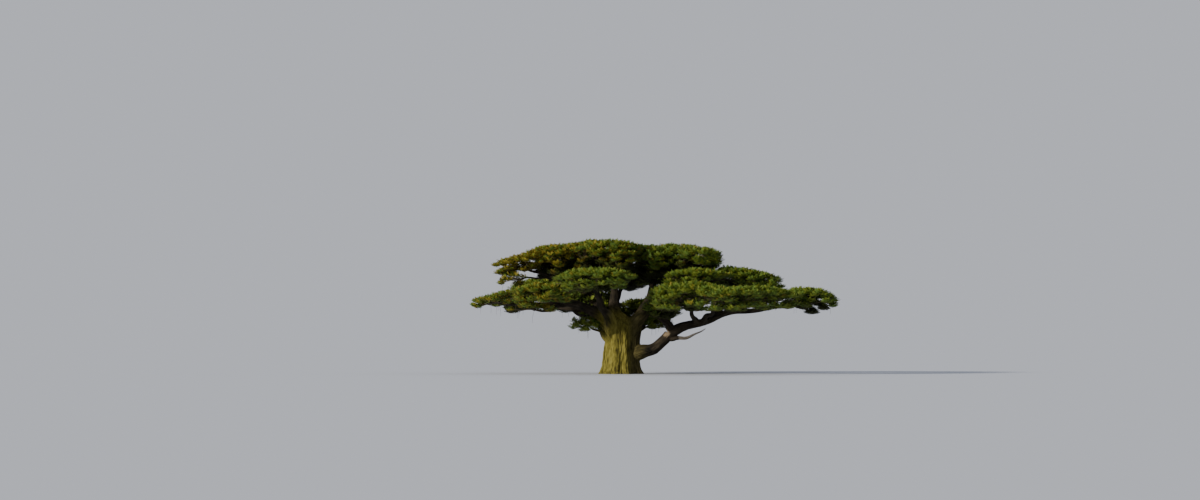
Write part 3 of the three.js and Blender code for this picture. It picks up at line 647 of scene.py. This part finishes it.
# A mass has its limb, the middle of its underside, its reach along X and Y, how far its dome stands
# over its rim, and its rise per metre towards +X.
MASSES = {
    "top_left_tip": ("top_left_outer_limb", (-7.0, 1.0, 7.3), (2.35, 2.3), 0.85, 0.09),
    "top_left_hanging": ("top_left_drooping_limb", (-7.5, 0.2, 6.4), (1.1, 1.0), 0.55, 0.1),
    "top_left": ("top_left_bough", (-4.1, 2.3, 7.45), (3.0, 3.1), 1.5, 0.05),
    "top": ("top_bough", (-0.9, 0.7, 7.6), (3.0, 3.2), 1.6, 0),
    "top_right": ("top_right_bough", (2.7, 2.4, 7.25), (2.9, 3.1), 1.65, 0),
    "top_right_tip": ("top_right_outer_limb", (5.3, 1.2, 7.45), (2.2, 2.8), 1.3, 0),
    "right_upper": ("crown_right_bough", (5.1, -1.5, 6.3), (2.7, 2.4), 0.8, 0),
    "right_shoulder": ("right_upper_limb", (8.8, 1.2, 6.2), (3.2, 3.0), 1.0, -0.14),
    "right_front_inner": ("right_front_inner_limb", (4.2, -4.9, 4.75), (2.7, 2.8), 1.3, 0),
    "right_front": ("right_front_limb", (7.2, -6.3, 4.7), (3.0, 2.9), 1.0, 0),
    "right_front_outer": ("right_front_outer_limb", (9.9, -3.9, 4.75), (2.7, 2.8), 1.0, 0),
    "right_tip": ("right_bough", (13.0, -1.0, 4.7), (2.3, 2.4), 1.1, -0.05),
    "right_back": ("right_back_limb", (8.9, 5.5, 5.3), (3.1, 3.0), 1.25, 0),
    "centre": ("crown_centre_limb", (3.0, -1.9, 4.65), (1.4, 1.7), 0.9, 0),
    "centre_back": ("centre_back_limb", (1.6, 2.4, 4.2), (2.1, 1.5), 0.75, 0),
    "left_inner": ("left_inner_bough", (-1.9, -4.6, 6.05), (3.2, 2.9), 1.0, 0.04),
    "left": ("left_front_limb", (-5.5, -3.3, 5.15), (2.8, 2.3), 0.9, 0.1),
    "left_tip": ("left_bough", (-8.8, -1.7, 4.72), (2.05, 2.0), 0.6, 0.1),
    "left_low": ("left_low_limb", (-6.3, -2.2, 4.3), (2.3, 1.7), 0.45, 0),
    "left_back": ("left_back_limb", (-7.4, 3.2, 4.8), (2.6, 2.6), 0.8, 0),
    "left_under": ("left_under_limb", (-2.5, 1.9, 4.55), (1.9, 1.7), 0.7, 0),
    "back_left": ("back_left_bough", (-5.6, 6.0, 5.5), (2.8, 2.8), 1.1, 0),
    "back": ("back_bough", (-2.1, 7.3, 5.35), (2.6, 2.8), 1.2, 0),
    "back_upper": ("back_upper_limb", (0.8, 5.6, 6.35), (2.8, 2.7), 1.0, 0),
    "back_right": ("back_right_bough", (4.4, 6.8, 5.85), (3.0, 2.9), 1.0, 0),
    "low_left": ("low_left_limb", (-2.3, 0.5, 3.1), (1.35, 1.2), 0.75, 0),
    "low_right": ("low_right_limb", (2.4, 1.3, 3.3), (1.25, 1.2), 0.5, 0),
}
SPACE_LAYER, DOME_TO = 0.75, 1.15
FARTHEST_LEAF = 1.18
SHYNESS = 0.06
RIM_MEAN, RIM_SEED_STEP = 0.95, 1.3
RIM_WAVES = ((2, 0.05, 1.0), (3, 0.05, 2.3), (5, 0.04, 1.7))
RIM_STEPS, SURE_STEPS = 24, 6
middles, reaches, crests, slopes = (np.array(column) for column in list(zip(*MASSES.values()))[1:])
every_mass = np.arange(len(MASSES))


def plan_share(mass, points):
    """How far out in plan points are in a mass: 0 at its middle and 1 on its rim."""
    offset = (points[..., :2] - middles[mass, :2]) / reaches[mass]
    return np.hypot(offset[..., 0], offset[..., 1])


def underside(mass, points):
    """The height of a mass's flat underside at points."""
    return middles[mass, 2] + slopes[mass] * (points[..., 0] - middles[mass, 0])


def dome_height(mass, points):
    """The height of its dome: its crest, less the cube of the plan share."""
    share = np.minimum(DOME_TO, plan_share(mass, points))
    return underside(mass, points) + crests[mass] * (1 - share**3)


def nearness(mass, points):
    """How near points are to a mass, with 1 on its rim: the plan share and the height over its
    middle, as a share of half its height and a layer, at right angles."""
    low, high = underside(mass, points), dome_height(mass, points)
    half = 0.5 * np.maximum(0, high - low) + SPACE_LAYER
    return np.hypot(plan_share(mass, points), (points[..., 2] - 0.5 * (low + high)) / half)


def in_own_space(mass, points):
    """Whether points are nearer to a mass than to every other one, and not too far from it."""
    near = nearness(every_mass, points[..., None, :])
    own = near[..., mass]
    others = np.delete(near, mass, axis=-1).min(axis=-1)
    return (own < FARTHEST_LEAF) & (others > own + SHYNESS)


def dome_point(mass, bearing, out, depth):
    """The point on the dome that is out from the middle along a bearing, lowered by depth as a share
    of the way to the underside."""
    x = middles[mass, 0] + out * np.cos(bearing)
    y = middles[mass, 1] + out * np.sin(bearing)
    flat = stacked(x, y, 0.0)
    high, low = dome_height(mass, flat), underside(mass, flat)
    return stacked(x, y, high + depth * (low - high))


def free_outline(mass, bearing):
    """How far a mass would reach along bearings with no neighbours: an ellipse with waves."""
    ellipse = 1 / np.hypot(np.cos(bearing) / reaches[mass, 0], np.sin(bearing) / reaches[mass, 1])
    seed = 1 + RIM_SEED_STEP * mass
    waves = sum(depth * np.sin(count * bearing + phase * seed) for count, depth, phase in RIM_WAVES)
    return ellipse * (RIM_MEAN + waves)


def outline(mass, bearing):
    """How far a mass reaches along bearings: its free outline, gone along in steps up to the last one
    before a neighbour is nearer."""
    full = free_outline(mass, bearing)
    steps = np.arange(SURE_STEPS + 1, RIM_STEPS + 1)[None, :] / RIM_STEPS * full[:, None]
    held = in_own_space(mass, dome_point(mass, bearing[:, None], steps, 0.5))
    return full * (SURE_STEPS + np.cumprod(held, axis=1).sum(axis=1)) / RIM_STEPS


TIER_STEP, TIER_JOIN, TIER_TO, TIER_FADE = 0.65, 1.8, 1.3, 0.3
LINE_STATIONS = 33


def tier_height(mass, points):
    """The height of the tier's top at points. Where the dome of a neighbour in the same tier comes
    near, the two join smoothly: the logarithm of the sum of their exponentials."""
    share = np.stack([plan_share(other, points) for other in every_mass], axis=-1)
    domes = np.stack([dome_height(other, points) for other in every_mass], axis=-1)
    level = np.abs(middles[:, 2] - middles[mass, 2]) < TIER_STEP
    weight = level * smooth_step(TIER_TO - share, 0, TIER_FADE)
    weight[..., mass] = 1
    return np.log((weight * np.exp(TIER_JOIN * domes)).sum(axis=-1)) / TIER_JOIN


limb_lines = [limb.spaced(LINE_STATIONS) for limb in limbs.values()]
limb_points = np.concatenate([line for line, _ in limb_lines])
limb_girths = np.concatenate(
    [limb.girth(share) for limb, (_, share) in zip(limbs.values(), limb_lines)]
)


def clear_of_limbs(points, margin):
    """Whether points keep their distance from every limb."""
    gap = np.linalg.norm(points[:, None] - limb_points[None], axis=2) - limb_girths[None]
    return (gap > margin).all(axis=1)


# The ribs and twigs
# A stem carries on from each limb's tip. Ribs spread from it under the mass, and a side twig rises
# from them to every tuft. All are thin brown wood, and a few twigs hang bare below.
STEM_STATIONS, STEM_SWEEP, STEM_TAPER, STEM_SIDES = 9, 0.45, 0.45, 10
HUB_DEPTH, JUST_BEFORE_TIP = 0.4, 0.99
RIBS_PER_METRE, FEWEST_RIBS, MOST_RIBS, RIBS_LEAVE_FROM = 1.7, 5, 11, 4
RIB_STATIONS, RIB_GIRTH, RIB_TAPER, RIB_SIDES, RIB_WIGGLE = 12, 0.5, 0.72, 6, 0.05
RIB_WAVES, RIB_PHASE, RIB_WIGGLE_UP, RIB_PLACE, RIB_PLACE_SPREAD = 7, 3, 0.6, 0.3, 0.4
RIB_LOW, RIB_LOW_SPREAD, RIB_END_SHARE, RIB_END_DEPTH = 0.78, 0.15, 0.95, 0.45
RIM_INSET, RIM_INSET_SHARE = 0.55, 0.25
TWIG_STATIONS, TWIG_GIRTH, TWIG_TAPER, TWIG_SIDES = 5, 0.014, 0.55, 4
TWIG_SWEEP, TWIG_RISE, TWIG_INWARD, TWIG_OUTWARD_COST = 0.6, 0.2, 0.1, 2
TWIG_COLOURS = {"bark of ribs": (0.06, 0.048, 0.03), "bark of twiglets": (0.05, 0.04, 0.02)}
RIB_BARK, TWIGLET_BARK = range(len(TWIG_COLOURS))
TWIG_FINISH = (0.9, 0.2)
HANGING_PER_METRE, HANGING_FROM, HANGING_MARGIN = 1.3, 3, 0.05
HANGING_STATIONS, HANGING_SIDES, HANGING_TAPER = 6, 3, 0.6
HANGING_LENGTH, HANGING_DRIFT, HANGING_GIRTH = 0.6, 0.35, 0.011
HANGING_BEND_ASIDE, HANGING_BEND_DOWN = 1.4, 0.4


def plain_material(name, colour, roughness, shine):
    """A leaf or twig is too small to show a pattern: its colour is dealt out by spray instead."""
    made = bpy.data.materials.new(name)
    made.use_nodes = True
    inputs = {"Base Color": (*colour, 1), "Roughness": roughness, "Specular IOR Level": shine}
    feed(made.node_tree.nodes["Principled BSDF"], inputs)
    return made


twig_materials = [plain_material(name, colour, *TWIG_FINISH) for name, colour in TWIG_COLOURS.items()]


def bent(start, bend, end, count):
    """Points on quadratic sweeps from start to end, drawn towards bend, as (lines, count, 3)."""
    t = np.linspace(0, 1, count)[None, :, None]
    start, bend, end = (np.asarray(p)[:, None] for p in (start, bend, end))
    return (1 - t) ** 2 * start + 2 * t * (1 - t) * bend + t**2 * end


def tapering(taper, count):
    """Shares of a girth that fall evenly from 1 by taper, as (1, count)."""
    return (1 - taper * np.linspace(0, 1, count))[None]


def either_way(spread, shape, rng):
    """Random values about zero, from half a spread below it to half a spread above."""
    return spread * (rng.random(shape) - 0.5)


def unit(vectors):
    """The vectors at a length of one."""
    return vectors / np.maximum(1e-9, np.linalg.norm(vectors, axis=-1, keepdims=True))


def tuft_outline(mass, bearing, inset):
    """How far out tufts stand: as far as the mass reaches, less their own spread at a free rim."""
    free = free_outline(mass, bearing)
    spread = inset * np.minimum(RIM_INSET, RIM_INSET_SHARE * free)
    return np.minimum(outline(mass, bearing), free - spread)


def grow_ribs(mass, limb, inset, rng):
    """The stem from the limb's tip to the middle of the mass, and the ribs that leave it at even
    bearings, run out low under the mass and rise to the rim. Returns both as lines with girths."""
    foot, before = limb.at(1)[0], limb.at(JUST_BEFORE_TIP)[0]
    hub = dome_point(mass, 0.0, 0.0, HUB_DEPTH)
    bend = foot + STEM_SWEEP * np.linalg.norm(hub - foot) * unit(foot - before)
    stem = bent([foot], [bend], [hub], STEM_STATIONS)
    stem_girth = limb.thin * tapering(STEM_TAPER, STEM_STATIONS)
    count = int(np.clip(round(RIBS_PER_METRE * reaches[mass].sum()), FEWEST_RIBS, MOST_RIBS))
    k = np.arange(count)
    bearing = 2 * np.pi * (k + RIB_PLACE + RIB_PLACE_SPREAD * rng.random(count)) / count
    reach = tuft_outline(mass, bearing, inset)
    start = stem[0, RIBS_LEAVE_FROM + k % (STEM_STATIONS - RIBS_LEAVE_FROM)]
    middle = dome_point(mass, bearing, 0.5 * reach, RIB_LOW + RIB_LOW_SPREAD * rng.random(count))
    end = dome_point(mass, bearing, RIB_END_SHARE * reach, RIB_END_DEPTH)
    ribs = bent(start, middle, end, RIB_STATIONS)
    share = np.linspace(0, 1, RIB_STATIONS)[None, :]
    wiggle = RIB_WIGGLE * np.sin(np.pi * share) * np.sin(RIB_WAVES * share + RIB_PHASE * k[:, None])
    ribs[..., 0] -= wiggle * np.sin(bearing)[:, None]
    ribs[..., 1] += wiggle * np.cos(bearing)[:, None]
    ribs[..., 2] += RIB_WIGGLE_UP * wiggle
    rib_girth = RIB_GIRTH * limb.thin * tapering(RIB_TAPER, RIB_STATIONS) + 0 * bearing[:, None]
    return (stem, stem_girth), (ribs, rib_girth)


def grow_twigs(mass, ribs, places, share):
    """A side twig to each tuft, from the nearest point of a rib that lies further in. It runs
    outwards first and rises at its end."""
    flat = ribs.reshape(-1, 3)
    inward = plan_share(mass, flat)
    cost = np.linalg.norm(places[:, None] - flat[None], axis=2)
    cost += TWIG_OUTWARD_COST * np.maximum(0, inward[None] - share[:, None] + TWIG_INWARD)
    start = flat[cost.argmin(axis=1)]
    end = places - np.array([0, 0, 0.5 * TUFT_HEIGHT])
    bend = start + TWIG_SWEEP * (end - start)
    bend[:, 2] = start[:, 2] + TWIG_RISE * (end[:, 2] - start[:, 2])
    twigs = bent(start, bend, end, TWIG_STATIONS)
    return twigs, TWIG_GIRTH * tapering(TWIG_TAPER, TWIG_STATIONS) + 0 * start[:, :1]


def hang_twigs(mass, ribs, rng):
    """Bare twigs that hang from under the ribs: each leaves a point of a rib, drifts aside and falls.
    Those that would leave the mass's space or touch a limb are left out."""
    count = round(HANGING_PER_METRE * reaches[mass].sum())
    flat = ribs[:, HANGING_FROM:].reshape(-1, 3)
    start = flat[rng.integers(0, len(flat), count)]
    drift = either_way(HANGING_DRIFT, (count, 3), rng)
    fall = HANGING_LENGTH * (0.5 + rng.random(count))[:, None] * np.array([0, 0, -1])
    end = start + drift + fall
    bend = start + HANGING_BEND_ASIDE * drift + HANGING_BEND_DOWN * fall
    twigs = bent(start, bend, end, HANGING_STATIONS)
    kept = in_own_space(mass, twigs[:, -2]) & clear_of_limbs(end, HANGING_MARGIN)
    girth = HANGING_GIRTH * tapering(HANGING_TAPER, HANGING_STATIONS) + 0 * start[:, :1]
    return twigs[kept], girth[kept]


# The tufts and leaves
# A tuft is a fan of twiglets that carry small feathery leaves in flat sprays. Tufts lie close over
# the dome, and others, with larger leaves and painted darker as shade, are scattered below them.
# The crown is golden where it has turned.
TOP_TUFTS_PER_SQUARE_METRE, LOWER_TUFTS_PER_CUBIC_METRE = 3.3, 2.7
CROWDING, TOP_LAYER, FILLED_CREST = 1.2, 0.12, 0.6
TUFT_RADIUS, TUFT_HEIGHT, TUFT_OUTWARD = 0.5, 0.27, 0.25
RIM_BEARINGS, TUFT_MARGIN, TWIGLET_MARGIN = 73, 0.12, 0.06
GOLDEN_ANGLE = np.pi * (3 - np.sqrt(5))
TUFT_SIZE, TUFT_SIZE_SPREAD, TWIGLET_REACH, TWIGLET_REACH_SPREAD = 0.85, 0.3, 0.75, 0.35
SPRAYS_PER_TUFT, SPRAY_FOOT, TWIGLET_GIRTH = 18, 0.12, 0.005
LOWEST_RISE, RISE_FROM, RISE_SPAN, RISE_SPREAD = -0.3, -0.25, 1.2, 0.15
LEAF_LENGTH, LEAF_WIDTH, LEAF_FOLD, WIDEST_AT = 0.185, 0.075, 0.45, 0.45
SHADE_LEAF_GROWTH, LEAF_DWINDLE = 0.5, (1.1, 0.35)
LENGTH_LEAST, LENGTH_SPREAD = 0.8, 0.4
LEAF_SHARES, PAIR_STAGGER, END_LEAF = np.array([0.3, 0.48, 0.66, 0.84]), 0.06, 0.97
LEAF_TURN, LEAF_LIFT, LEAF_SPREAD, SPRAY_TILT = 0.95, 0.25, 0.5, 0.7
FIRST_SEED, SEED_STEP = 1000, 37

# How far a mass hangs below its underside and stands over its dome in the middle, in metres, then how
# much of a tuft's spread it keeps inside its rim, and how much smaller its tufts are there.
EVEN = (0.45, 0, 1, 0.2)
UNEVEN = {
    "top_left_tip": (0.45, 0, 1, 0.5),
    "top_left_hanging": (0.3, 0.1, 0.6, 0.1),
    "top_left": (0.8, 0, 1, 0.2),
    "top": (0.7, 0, 1, 0.2),
    "top_right": (1.0, 0, 1, 0.2),
    "top_right_tip": (0.75, 0, 1, 0),
    "right_front_inner": (0.5, 0, 0.6, 0.1),
    "right_tip": (0.45, 0, 0.9, 0.35),
    "left_tip": (0.1, 0, 1, 0.6),
    "left_low": (0.15, 0, 1, 0.3),
    "centre": (0.9, 0.3, 0.3, 0),
    "centre_back": (0.9, 0.15, 0, 0.3),
    "left_under": (0.3, 0.9, 0, 0),
    "low_left": (0.15, 1.0, 0.4, 0),
    "low_right": (0.3, 0.3, 0.6, 0),
}

# How far down the leaves are painted in sunlit colours, in metres: deeper where a mass faces the low
# sun. Below that their colours are painted shade.
SHADE_DEPTH, RIM_LIGHT, TOP_LIGHT, RISE_LIGHT = 0.8, 1.2, 1.1, 0.25
SUNLIT_DEPTHS = {
    "top_left_tip": 1.1,
    "top_left": 1.0,
    "right_front_inner": 1.6,
    "right_front": 1.8,
    "right_front_outer": 1.8,
    "left_inner": 1.3,
    "left": 2.0,
    "left_tip": 2.0,
    "left_low": 2.4,
    "low_left": 2.4,
    "centre": 1.4,
}

# The painted light on a mass's leaves as a share of its own: painted shade where others shade it,
# painted light where low sun comes in.
MASS_LIGHT = {
    "left_under": 0.5,
    "centre_back": 0.5,
    "low_right": 0.7,
    "low_left": 2.0,
}

# The share of golden sprays where the crown has turned.
GOLDEN_MASSES = {
    "top_left_tip": 0.75,
    "top_left": 0.6,
    "top_left_hanging": 0.6,
    "top": 0.3,
    "left_tip": 0.4,
    "left": 0.32,
    "left_low": 0.5,
}
ELSEWHERE_GOLDEN, OLIVE_SHARE = 0.03, 0.5
DEEP_BELOW, SHADED_BELOW, SHADE_SPREAD = 0.22, 0.52, 0.3
# Shaded, deep and shaded golden leaves are darker copies of the others: painted shade.
LEAF_COLOURS = {
    "golden leaves": (0.172, 0.146, 0.015),
    "olive leaves": (0.122, 0.155, 0.018),
    "green leaves": (0.084, 0.138, 0.021),
    "shaded leaves": (0.056, 0.072, 0.012),
    "deep leaves": (0.023, 0.028, 0.006),
    "shaded golden leaves": (0.085, 0.067, 0.009),
}
GOLDEN, OLIVE, GREEN, SHADED, DEEP, SHADED_GOLDEN = range(len(LEAF_COLOURS))
LEAF_FINISH = (0.65, 0.12)
leaf_materials = [plain_material(name, colour, *LEAF_FINISH) for name, colour in LEAF_COLOURS.items()]


def place_tufts(mass, hangs, stands, inset, rng):
    """Where tufts stand: close over the top of the tier by the golden angle, and scattered at all
    heights from there to below the underside, by as much as the middle hangs. The middle stands
    over the dome where the shoots are crowded, and tufts crowd more where it hangs more. Returns
    their places, plan shares, and how far each is below the top."""
    bearings = np.linspace(0, 2 * np.pi, RIM_BEARINGS)
    rim = tuft_outline(mass, bearings, inset)
    area = 0.5 * (rim[:-1] ** 2).sum() * 2 * np.pi / (RIM_BEARINGS - 1)
    upper = round(TOP_TUFTS_PER_SQUARE_METRE * area)
    crowd = LOWER_TUFTS_PER_CUBIC_METRE * (1 + CROWDING * hangs)
    lower = round(crowd * area * (FILLED_CREST * crests[mass] + hangs + stands))
    k = np.concatenate([np.arange(upper), rng.random(lower) * upper])
    bearing = (k * GOLDEN_ANGLE) % (2 * np.pi)
    share = np.sqrt((k + 0.5) / upper)
    flat = dome_point(mass, bearing, share * np.interp(bearing, bearings, rim), 1.0)
    top = tier_height(mass, flat) + stands * (1 - share**4)
    room = np.maximum(0, top - flat[:, 2] + hangs * (1 - share**4))
    close, scattered = TOP_LAYER * rng.random(len(k)), room * rng.random(len(k))
    drop = np.where(np.arange(len(k)) < upper, close, scattered)
    places = stacked(flat[:, 0], flat[:, 1], top - drop)
    kept = in_own_space(mass, places) & clear_of_limbs(places, TUFT_MARGIN)
    return places[kept], share[kept], drop[kept]


def grow_twiglets(mass, places, share, drop, taper, deep, rng):
    """The twiglets of every tuft: they fan out from its foot over a flattened half ball, by the
    golden angle. Those that would leave the mass's space or touch a limb are left out. Returns each
    one's foot, tip, and the light painted into its leaves' colours, from 0, deep painted shade, at
    the given depth below the top to 1 on top."""
    tufts = len(places)
    k = np.arange(SPRAYS_PER_TUFT)[None, :]
    bearing = k * GOLDEN_ANGLE + 2 * np.pi * rng.random((tufts, 1))
    rise = RISE_FROM + RISE_SPAN * (k + 0.5) / SPRAYS_PER_TUFT
    rise = rise + either_way(RISE_SPREAD, (tufts, SPRAYS_PER_TUFT), rng)
    rise = np.clip(rise, LOWEST_RISE, 1)
    flat = np.sqrt(np.maximum(0, 1 - np.maximum(0, rise) ** 2))
    flat = flat * (TWIGLET_REACH + TWIGLET_REACH_SPREAD * rng.random(rise.shape))
    size = 1 - taper * share[:, None] ** 3
    size = size * (TUFT_SIZE + TUFT_SIZE_SPREAD * rng.random((tufts, 1)))
    outward = unit(places[:, :2] - middles[mass, :2])
    outward = outward * (TUFT_OUTWARD * TUFT_RADIUS * share[:, None] ** 3)
    tip = places[:, None] + stacked(
        TUFT_RADIUS * size * flat * np.cos(bearing) + outward[:, :1],
        TUFT_RADIUS * size * flat * np.sin(bearing) + outward[:, 1:],
        TUFT_HEIGHT * size * rise,
    )
    foot = places - np.array([0, 0, 0.5 * TUFT_HEIGHT])
    foot = foot[:, None] + SPRAY_FOOT * (tip - foot[:, None])
    # Painted light: how sunlit a spray's colours are, by its depth below the top.
    shade = drop / (deep * (1 + RIM_LIGHT * share**3))
    light = np.clip(TOP_LIGHT - shade[:, None] + RISE_LIGHT * rise, 0, 1)
    foot, tip, light = foot.reshape(-1, 3), tip.reshape(-1, 3), light.ravel()
    kept = in_own_space(mass, tip) & clear_of_limbs(tip, TWIGLET_MARGIN)
    return foot[kept], tip[kept], light[kept]


def feather(foot, tip, light, rng):
    """The leaves of every twiglet: pairs to its left and right and one at its end, each a kite of two
    faces that is folded up along its midrib. They grow larger in the shade. Returns points as
    (twiglets, leaves, 4, 3)."""
    count = len(foot)
    along = unit(tip - foot)
    up = unit(np.array([0, 0, 1.0]) + either_way(SPRAY_TILT, (count, 3), rng))
    side = unit(np.cross(up, along))
    up = np.cross(along, side)
    pairs = len(LEAF_SHARES)
    shares = np.concatenate([LEAF_SHARES, LEAF_SHARES + PAIR_STAGGER, [END_LEAF]])
    turn = np.concatenate([np.full(pairs, LEAF_TURN), np.full(pairs, -LEAF_TURN), [0.0]])
    turn = turn[None] + either_way(LEAF_SPREAD, (count, len(turn)), rng)
    lift = LEAF_LIFT + either_way(LEAF_SPREAD, turn.shape, rng)
    root = foot[:, None] + shares[None, :, None] * (tip - foot)[:, None]
    point = np.cos(turn)[..., None] * along[:, None] + np.sin(turn)[..., None] * side[:, None]
    point = unit(point + lift[..., None] * up[:, None])
    size = (1 + SHADE_LEAF_GROWTH * (1 - light))[:, None]
    length = LEAF_LENGTH * size * (LEAF_DWINDLE[0] - LEAF_DWINDLE[1] * shares)[None]
    length = length * (LENGTH_LEAST + LENGTH_SPREAD * rng.random(turn.shape))
    wide = unit(np.cross(up[:, None], point)) * (0.5 * LEAF_WIDTH * size[..., None])
    fold = np.cross(point, wide) * LEAF_FOLD
    middle = root + WIDEST_AT * length[..., None] * point
    end = root + length[..., None] * point
    return np.stack([root, middle - wide + fold, end, middle + wide + fold], axis=2)


def leaf_kinds(light, golden, rng):
    """Deals a colour to each spray by its painted light: darker copies below, deep and shaded, as
    painted shade, and on top olive, green or golden by chance. Where many are golden on top, as many
    below are a darker brown copy of the golden, as painted shade."""
    chance = rng.random(len(light))
    shade = light + either_way(SHADE_SPREAD, len(light), rng)
    others = np.where(chance < golden + OLIVE_SHARE * (1 - golden), OLIVE, GREEN)
    top = np.where(chance < golden, GOLDEN, others)
    below = np.where(chance < golden, SHADED_GOLDEN, SHADED)
    return np.where(shade < DEEP_BELOW, DEEP, np.where(shade < SHADED_BELOW, below, top))


def spikes(foot, tip, girth):
    """Twiglets as slim spikes with three sides and a closed foot, as points and faces."""
    ring = rings_along(np.stack([foot, tip], axis=1), np.full((len(foot), 2), girth), 3)[:, 0]
    points = np.concatenate([ring, tip[:, None]], axis=1)
    corners = np.array([[0, 1, 3], [1, 2, 3], [2, 0, 3], [2, 1, 0]])
    faces = (4 * np.arange(len(foot))[:, None, None] + corners[None]).reshape(-1, 3)
    return points.reshape(-1, 3), [faces]


for mass, (name, row) in enumerate(MASSES.items()):
    rng = np.random.default_rng(FIRST_SEED + SEED_STEP * mass)
    hangs, stands, inset, taper = UNEVEN.get(name, EVEN)
    stem, ribs = grow_ribs(mass, limbs[row[0]], inset, rng)
    places, share, drop = place_tufts(mass, hangs, stands, inset, rng)
    twigs = grow_twigs(mass, ribs[0], places, share)
    deep = SUNLIT_DEPTHS.get(name, SHADE_DEPTH)
    foot, tip, light = grow_twiglets(mass, places, share, drop, taper, deep, rng)
    # Painted light and shade for the whole mass.
    light = np.minimum(1, light * MASS_LIGHT.get(name, 1))
    hanging = hang_twigs(mass, ribs[0], rng)
    points, faces, counts = join(
        [
            skin(rings_along(*stem, STEM_SIDES)),
            skin(rings_along(*ribs, RIB_SIDES)),
            skin(rings_along(*twigs, TWIG_SIDES)),
            skin(rings_along(*hanging, HANGING_SIDES)),
            spikes(foot, tip, TWIGLET_GIRTH),
        ]
    )
    kinds = np.repeat([RIB_BARK] * 4 + [TWIGLET_BARK], counts)
    piece = make_piece("twigs_" + name, points, faces, twig_materials, kinds)
    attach(piece, "root")
    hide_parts("foliage_" + name)

    leaves = feather(foot, tip, light, rng)
    each = leaves.shape[1]
    first = 4 * np.arange(leaves.shape[0] * each)[:, None]
    halves = np.concatenate([first + [0, 1, 2], first + [0, 2, 3]])
    kind = np.repeat(leaf_kinds(light, GOLDEN_MASSES.get(name, ELSEWHERE_GOLDEN), rng), each)
    points, kinds = leaves.reshape(-1, 3), np.tile(kind, 2)
    piece = make_piece("leaves_" + name, points, [halves], leaf_materials, kinds, smooth=False)
    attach(piece, "root")
    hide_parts("foliage_" + name)

# The floor and the light
# A warm, soft lamp stands low on the left and in front, and even light comes from all round. The
# floor is plain and pale, and gives back just as much light as the background has, so that the two
# meet with no line between them.
LAMP_HEIGHT, LAMP_BEARING = np.radians(18), np.radians(-57)
LAMP_LIGHT, LAMP_SPREAD = 5.8 * np.array([1, 0.93, 0.82]), np.radians(5)
SKY_LIGHT = 0.6 * np.array([0.88, 0.91, 1.0])
FLOOR_RADIUS, FLOOR_SIDES, FLOOR_DROP = 1500.0, 96, 0.004
lamp = bpy.data.objects.new("lamp", bpy.data.lights.new("lamp", "SUN"))
lamp.data.energy = LAMP_LIGHT.max()
lamp.data.color = LAMP_LIGHT / LAMP_LIGHT.max()
lamp.data.angle = LAMP_SPREAD
lamp.rotation_euler = (np.pi / 2 - LAMP_HEIGHT, 0, LAMP_BEARING)
bpy.context.scene.collection.objects.link(lamp)

world = bpy.data.worlds.new("soft light")
world.use_nodes = True
sky = world.node_tree.nodes["Background"]
sky.inputs["Color"].default_value = (*(SKY_LIGHT / SKY_LIGHT.max()), 1)
sky.inputs["Strength"].default_value = SKY_LIGHT.max()
bpy.context.scene.world = world

floor_light = SKY_LIGHT + LAMP_LIGHT * np.sin(LAMP_HEIGHT) / np.pi
floor_paint = plain_material("plain floor", SKY_LIGHT / floor_light, roughness=1, shine=0)
angles = all_round(FLOOR_SIDES)
rim = stacked(FLOOR_RADIUS * np.cos(angles), FLOOR_RADIUS * np.sin(angles), -FLOOR_DROP)
floor = make_piece("floor", rim, [np.arange(FLOOR_SIDES)[None]], [floor_paint])
